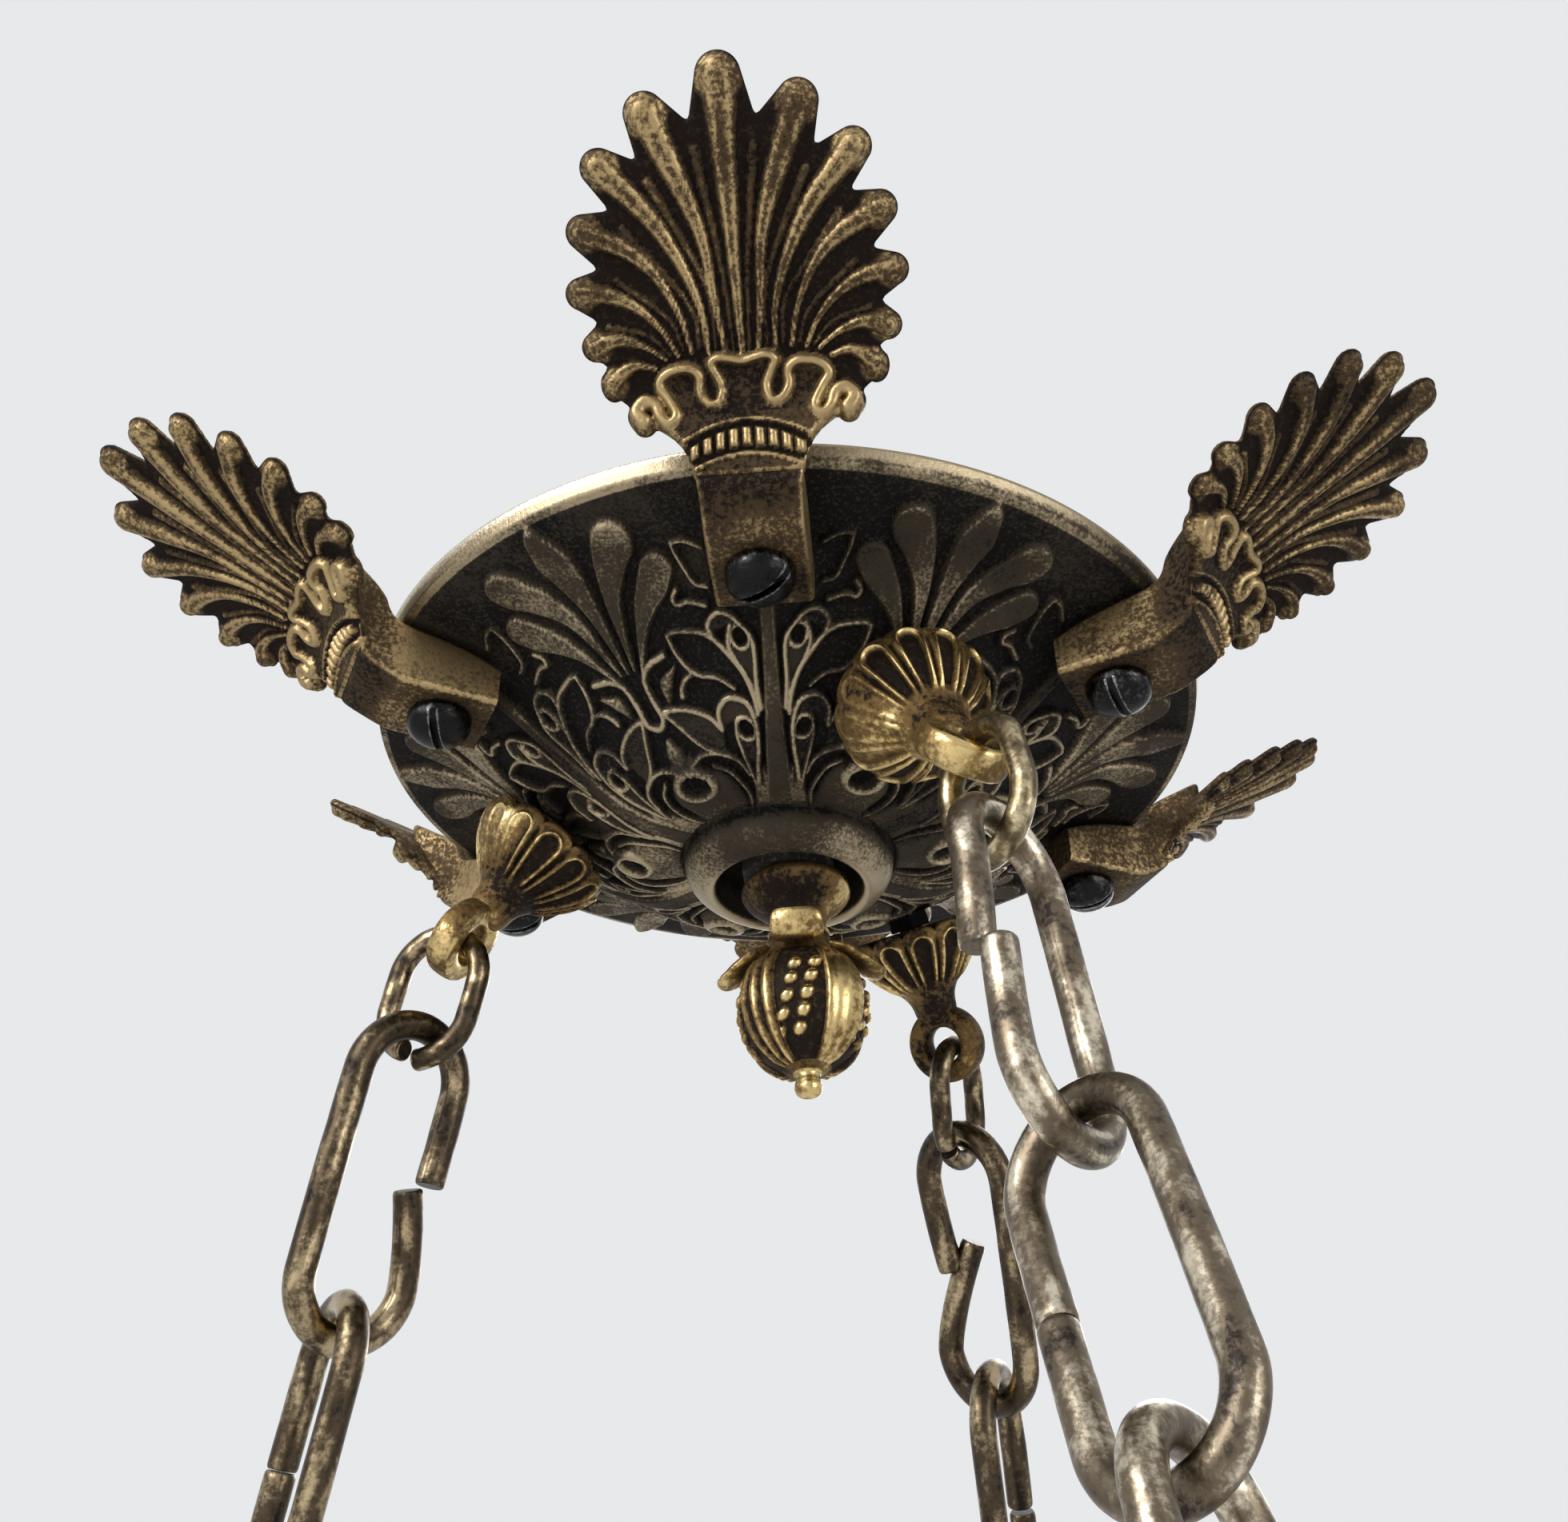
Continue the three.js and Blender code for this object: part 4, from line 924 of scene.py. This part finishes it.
def link_shell(size, cut_side, cut_up, gap, upper, lower, seed):
    bend, leg = size["width"] / 2 + size["wire"] / 2, size["inner"] - size["width"]
    half = math.pi * bend
    length = 2 * leg + 2 * half
    start = {0: 1.5 * half + leg, 2: 1.5 * half + 2 * leg}.get(cut_side, leg / 2) + cut_up
    t = np.linspace(0, 1, 181)
    t = np.concatenate([t[:1], [0.002, 0.006], t[2:-2], [0.994, 0.998], t[-1:]])
    travel = t * (length - gap)
    s = (start + gap / 2 + travel) % length
    # up one side, round the top, down the other side and round the bottom
    over, under = (s - leg) / bend, math.pi + (s - 2 * leg - half) / bend
    spans = [s < leg, s < leg + half, s < 2 * leg + half]
    x = np.select(spans, [np.full_like(s, bend), bend * np.cos(over), np.full_like(s, -bend)], bend * np.cos(under))
    z = np.select(
        spans, [s - leg / 2, leg / 2 + bend * np.sin(over), leg / 2 - (s - leg - half)],
        -leg / 2 + bend * np.sin(under),
    )
    if cut_side < 0:
        x = -x
    # the sides bow very slightly, and the cut ends stand past each other
    x = x + 0.25 * np.sign(x) * np.cos(np.clip(z / (size["inner"] / 2), -1, 1) * math.pi / 2)
    reach = 0.42 * leg + 3 if max(map(abs, upper + lower)) > 1 else 0.28 * leg + 3
    first = clamp(1 - travel / reach) ** 1.5
    last = clamp(1 - (length - gap - travel) / reach) ** 1.5
    y = upper[0] * first + lower[0] * last
    x = x + upper[1] * first + lower[1] * last
    z = z + upper[2] * first + lower[2] * last
    r = np.full_like(t, size["wire"] / 2)
    r[[0, -1]] -= 0.32
    r[[1, -2]] -= 0.1
    wobble = np.interp(t * 40, np.arange(41), np.random.default_rng(seed).normal(0, 0.02, 41))
    shell = Shell()
    path = np.stack([x, y, z], -1)
    bow = np.abs(z) / (size["inner"] / 2)
    wear = 0.53 + 0.16 * clamp(bow - 0.6)[:, None] + 0.14 * streaks(len(t), seed + 100)
    tube(shell, path, r + wobble, SIDES, wear, up=(0, 1, 0), caps=False)
    ends = np.vstack(shell.verts).reshape(len(t), SIDES, 3)
    shell.cap(ends[0], 0.3)
    shell.cap(ends[-1], 0.3, flip=True)
    return shell


for i, pieces in enumerate(CHAINS):
    lean = math.radians(CUP_LEANS[i])
    hold = CUP_MOUTH + (EYE_CENTRE + EYE_HOLE + EYE_HALF_HIGH) * np.array([math.sin(lean), 0, -math.cos(lean)])
    above = EYE_HALF_WIDE + EYE_PLAY
    for j, (outward, sideways, twist, *cut) in enumerate(pieces):
        size = RING if j == 0 else LINK
        down = np.array([math.tan(math.radians(outward)), math.tan(math.radians(sideways)), -1.0])
        down /= np.linalg.norm(down)
        across = np.array([0, 1, 0]) - down * down[1]
        across /= np.linalg.norm(across)
        legs = np.cross(down, across)
        a = math.radians(twist)
        legs = legs * math.cos(a) + np.cross(down, legs) * math.sin(a)
        normal = np.cross(-down, legs)
        centre = hold + down * (size["inner"] / 2 - above)
        basis = np.stack([legs, normal, -down])
        shell = link_shell(size, *cut, 10 * i + j)
        shell.moved(lambda v, basis=basis, centre=centre: v @ basis + centre)
        name = f"ring_{i + 1}" if j == 0 else f"link_{i + 1}_{j}"
        node = f"split_ring_{i + 1}" if j == 0 else f"chain_{i + 1}_link_{j}"
        metal = chain_brown if i else ring_brass if j == 0 else chain_pale
        piece(f"wire_{name}", shell, metal, name, [node], FIRST_CHAIN + CHAIN_STEP * i)
        hold = centre + down * (size["inner"] + size["wire"]) / 2
        above = size["wire"] / 2 + LINK_GAP

# ---------- finial ----------


def neck_shell():
    shell = Shell()
    profile = [(3.3, -31.6), (7.2, -31.5), (9.0, -31.75), (9.95, -32.3), (10.3, -33.2), (10.15, -34.1), (9.4, -35.2),
               (8.2, -36.3), (6.9, -37.4), (5.9, -38.5), (5.25, -39.8), (4.95, -41.0), (5.0, -41.6), (5.5, -41.9),
               (5.75, -42.4), (5.6, -42.9), (5.5, -43.3), (3.3, -43.3)]
    line = smooth_line(profile, 5)
    heights = [-43.3, -42.3, -41.2, -38, -35, -33, -31.5]
    bare = np.interp(line[:, 1], heights, [0.3, 0.6, 0.12, 0.2, 0.22, 0.34, 0.2])[:, None]
    gilt = np.interp(line[:, 1], heights, [0.3, 0.7, 0.2, 0.4, 0.62, 0.75, 0.4])[:, None]
    kept_side = clamp(1.6 * np.cos(np.radians(np.arange(96) * 3.75 - 5)) - 0.5)[None, :]
    revolve(shell, line, 96, bare + (gilt - bare) * kept_side)
    return shell


BEADS_START, BEADS_HALF, BEADS_SUNK = 9.9, 24, 0.5  # along the acorn, degrees each way, depth of their ground
BEAD_STEP, BEAD_RADIUS = 3.3, 1.3
LEAF_HALF = 21  # degrees each way of the ribbed leaf between two horns
# The curled leaf tips: their middle line, half widths and flatness. One is broken off blunt.
LEAF_POINTED = (
    [(5.6, 0, -45.4), (8.2, 0, -47.0), (10.8, 0, -48.9), (13.0, 0, -50.5), (14.6, 0, -51.1), (15.4, 0, -50.7)],
    [2.6, 4.4, 4.0, 2.7, 1.4, 0.4], 0.36,
)
LEAF_BLUNT = (
    [(5.6, 0, -45.4), (8.2, 0, -46.9), (10.2, 0, -47.4), (11.6, 0, -46.6), (12.3, 0, -45.1), (12.5, 0, -43.8)],
    [2.6, 4.6, 4.9, 4.7, 4.4, 4.1], 0.26,
)
LEAF_STEPS = [0, 10, 20, 30, 37, 40]  # points of the smoothed line that the half widths stand at


def acorn_shell():
    shell = Shell()
    profile = [(5.4, -43.6), (5.6, -44.6), (6.0, -46.0), (7.0, -47.8), (9.0, -49.9), (10.4, -51.9), (11.3, -54.2),
               (11.75, -56.8), (11.65, -59.4), (11.0, -62.2), (9.8, -64.8), (7.9, -67.0), (5.6, -68.7), (3.4, -69.7),
               (2.35, -70.2), (2.15, -70.9), (2.3, -71.8), (2.45, -72.8), (2.1, -73.8), (1.2, -74.3), (0.02, -74.4)]
    line, s, inward = smooth_profile(profile, 9)
    out = -inward
    count = 480
    a = np.arange(count) * 360.0 / count
    quarter = (a + 90 + 45) % 90 - 45  # degrees from the nearest horn
    ss, qq = np.meshgrid(s, quarter, indexing="ij")
    rr, zz = np.repeat(line[:, :1], count, 1), np.repeat(line[:, 1:], count, 1)
    body = clamp((-47.5 - zz) / 2.5) * clamp((zz + 69.6) / 1.2)
    # beads under each horn, in two leaning columns
    lean_shift = (15.5 - ss) * 0.27
    rows = (ss - BEADS_START) / BEAD_STEP
    height = -BEADS_SUNK * body * (np.abs(qq) < BEADS_HALF)
    wear = np.where((np.abs(qq) < BEADS_HALF) & (body > 0.3), 0.05, 0.45)
    for column in (-1.85, 1.85):
        x = qq * math.pi / 180 * rr - column - lean_shift
        row = rows + (0.12 if column > 0 else 0.0)
        y = np.abs(row % 1 - 0.5) * BEAD_STEP
        d = np.hypot(x, y) / BEAD_RADIUS
        on = (d < 1) & (row > 0) & (row < 4.98)
        dome = np.sqrt(clamp(1 - d**2))
        height = np.where(on, np.maximum(height, 1.05 * dome - BEADS_SUNK), height)
        wear = np.where(on, 0.35 + 0.7 * dome, wear)
    # a leaf between the horns, with three ribs that meet at the tip
    rel = (45 - np.abs(qq)) / LEAF_HALF
    on = rel < 1
    ribs_up = 0.5 + 0.5 * np.cos(rel * 2 * math.pi * 1.5)
    rubbed = (np.abs((a[None, :] + 45 + 180) % 360 - 180) < 23) * np.ones_like(ribs_up)
    ribs_up = ribs_up + (0.85 - ribs_up) * 0.75 * rubbed
    edge = np.sqrt(clamp(1 - clamp((rel - 0.86) / 0.14) ** 2))
    height = np.where(on, (0.15 + 0.55 * ribs_up) * edge * body, height)
    wear = np.where(on & (body > 0.3), 0.2 + 0.75 * ribs_up * edge, wear)
    wear = np.where(zz < -70, 0.85, wear)
    wear = np.where(zz > -46, 0.2, wear)
    radius = rr + out[:, :1] * height
    level = zz + out[:, 1:] * height
    angle = np.radians(a)
    shell.grid(np.stack([radius * np.cos(angle), radius * np.sin(angle), level], -1), wear, wrap_v=True, flip=True)
    for k in range(4):
        path, widths, flat = (LEAF_POINTED if k else LEAF_BLUNT)
        path = smooth_line(path, 8)
        step = np.arange(len(path))
        wear = np.repeat(np.interp(step, [0, 15, 41], [0.4, 0.6, 0.95])[:, None], 24, 1)
        horn = Shell()
        width = np.interp(step, LEAF_STEPS, widths)
        tube(horn, path, width, 24, wear, flat=flat, up=(0, 0, 1), caps=k == 0)
        horn.moved(lambda v, k=k: turn(v, FIRST_BRACKET + 90 * k))
        for verts, faces, value in zip(horn.verts, horn.faces, horn.wear):
            shell.add(verts, faces, value)
    return shell


FINIAL_TOP, FINIAL_LEAN, FINIAL_SHIFT = -31.6, 2.3, 1.2


def leaned(verts):
    """Points of the finial, off centre and leaning as the bent spigot holds it."""
    return turn(verts - [0, 0, FINIAL_TOP], -FINIAL_LEAN, "y") + [FINIAL_SHIFT, 0, FINIAL_TOP]


piece("flange_neck", neck_shell().moved(leaned), gilded_brass, "crown", ["finial_neck"])
piece("acorn", acorn_shell().moved(leaned), gilded_brass, "crown", ["finial_acorn"])

# ---------- hanging loop ----------


def loop_shell():
    shell = Shell()
    radius, wire, centre = 15.0, 6.4, 36.0
    a = np.linspace(0, 2 * math.pi, 96, endpoint=False)
    path = np.stack([radius * np.cos(a), np.zeros_like(a), centre + radius * np.sin(a)], -1)
    wear = 0.55 - 0.35 * clamp(np.sin(a)) ** 8
    tube(shell, path, wire / 2, 28, np.repeat(wear[:, None], 28, 1), closed=True, up=(0, 1, 0))
    hub = [(5.1, 6.0), (7.4, 6.0), (7.9, 6.4), (8.0, 7.2), (8.0, 15.2), (7.6, 16.4), (6.4, 18.2), (5.2, 20.2),
           (4.7, 22.0), (2.5, 22.8), (0.02, 23.0)]
    revolve(shell, hub, 64, 0.5)
    revolve(shell, [(5.1, 6.0), (5.1, 16.4), (0.02, 17.2)], 48, 0.1, True)
    return shell


piece("top_loop", loop_shell(), bracket_brass, "crown", ["hanging_loop"])

# ---------- fittings that keep their own shape ----------
for name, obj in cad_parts.items():
    if any(word in name for word in ("nut", "stud", "washer", "rod")):
        for slot in obj.material_slots:
            slot.material = hidden_steel if "lock" in name or "stud" in name else dull_steel

# ---------- camera, light and floor ----------
# The photograph's camera, found from the rim, the screws and the cast ring.
PHOTO_FOCAL, PHOTO_WIDTH, SENSOR = 2068.0, 1960.0, 36.0  # pixels, pixels, millimetres
CAMERA_PITCH, CAMERA_YAW, CAMERA_ROLL = 34.8, -0.15, -0.74
CAMERA_BACK, CAMERA_BELOW = 3.379, 2.384  # in radii of the dish
TURN_TO_PHOTO = 3.25
pitch, yaw, roll = (math.radians(v) for v in (CAMERA_PITCH, CAMERA_YAW, CAMERA_ROLL))
forward = Vector((math.sin(yaw) * math.cos(pitch), math.cos(yaw) * math.cos(pitch), math.sin(pitch)))
right = Vector((math.cos(yaw), -math.sin(yaw), 0.0))
upward = right.cross(forward)
right_rolled = math.cos(roll) * right + math.sin(roll) * upward
up_rolled = -math.sin(roll) * right + math.cos(roll) * upward
spin = Matrix.Rotation(math.radians(TURN_TO_PHOTO), 3, "Z")
camera_data = bpy.data.cameras.new("camera")
camera_data.lens = PHOTO_FOCAL / PHOTO_WIDTH * SENSOR
camera_data.sensor_width = SENSOR
camera_data.clip_start, camera_data.clip_end = 0.01, 20.0
camera = bpy.data.objects.new("camera", camera_data)
bpy.context.scene.collection.objects.link(camera)
columns = [spin @ v for v in (right_rolled, up_rolled, -forward)]
rotation = Matrix([[c[k] for c in columns] for k in range(3)]).to_4x4()
place = spin @ Vector((0.0, -CAMERA_BACK * RIM / 1000, -CAMERA_BELOW * RIM / 1000))
camera.matrix_world = Matrix.Translation(place - Vector((0, 0, HANG_HEIGHT / 1000))) @ rotation
bpy.context.scene.camera = camera


def area_light(name, position, target, size, power):
    data = bpy.data.lights.new(name, "AREA")
    data.shape = "RECTANGLE"
    data.size, data.size_y = size
    data.energy = power
    light = bpy.data.objects.new(name, data)
    light.location = position
    light.rotation_mode = "QUATERNION"
    light.rotation_quaternion = (Vector(target) - Vector(position)).to_track_quat("-Z", "Y")
    bpy.context.scene.collection.objects.link(light)


area_light("window", (-0.9, -1.1, 0.45), (0, 0, -0.1), (1.0, 1.0), 22.0)
area_light("fill", (1.2, -0.9, -0.1), (0, 0, -0.1), (0.9, 0.9), 8.0)
area_light("behind", (0.2, 1.2, 0.5), (0, 0, -0.1), (1.0, 0.8), 8.0)

world = bpy.data.worlds.new("world")
bpy.context.scene.world = world
world.use_nodes = True
wn, wl = world.node_tree.nodes, world.node_tree.links
background = wn["Background"]
path = wn.new("ShaderNodeLightPath")
seen = math_node(wn, wl, "MAXIMUM", path.outputs["Is Camera Ray"], path.outputs["Is Transmission Ray"])
seen = math_node(wn, wl, "MAXIMUM", seen, path.outputs["Is Glossy Ray"])
WORLD_LIGHT, WORLD_SEEN = 0.55, 0.86
BACKDROP = (0.93, 0.945, 0.96, 1.0)
wl.new(ramp(wn, wl, seen, 0.0, 1.0, WORLD_LIGHT, WORLD_SEEN), background.inputs["Strength"])
background.inputs["Color"].default_value = BACKDROP

FLOOR_PALE = 0.75
floor_material = bpy.data.materials.new("pale_floor")
floor_material.use_nodes = True
floor_shader = floor_material.node_tree.nodes["Principled BSDF"]
floor_shader.inputs["Base Color"].default_value = (0.8, 0.8, 0.8, 1.0)
floor_shader.inputs["Roughness"].default_value = 0.9
# To the camera the floor is a pale backdrop that keeps the object's shadow.
fn, fl = floor_material.node_tree.nodes, floor_material.node_tree.links
pale = fn.new("ShaderNodeEmission")
pale.inputs["Color"].default_value = BACKDROP
pale.inputs["Strength"].default_value = WORLD_SEEN
both = fn.new("ShaderNodeMixShader")
ray = fn.new("ShaderNodeLightPath")
fl.new(math_node(fn, fl, "MULTIPLY", ray.outputs["Is Camera Ray"], FLOOR_PALE), both.inputs[0])
fl.new(floor_shader.outputs[0], both.inputs[1])
fl.new(pale.outputs[0], both.inputs[2])
fl.new(both.outputs[0], fn["Material Output"].inputs["Surface"])
floor_mesh = bpy.data.meshes.new("floor")
FLOOR_HALF, FLOOR_HEIGHT = 12.0, -0.42
corners = [(-1, -1), (1, -1), (1, 1), (-1, 1)]
floor_mesh.from_pydata([(x * FLOOR_HALF, y * FLOOR_HALF, FLOOR_HEIGHT) for x, y in corners], [], [(0, 1, 2, 3)])
floor_mesh.materials.append(floor_material)
floor = bpy.data.objects.new("floor", floor_mesh)
bpy.context.scene.collection.objects.link(floor)
bpy.context.scene.view_settings.view_transform = "Standard"
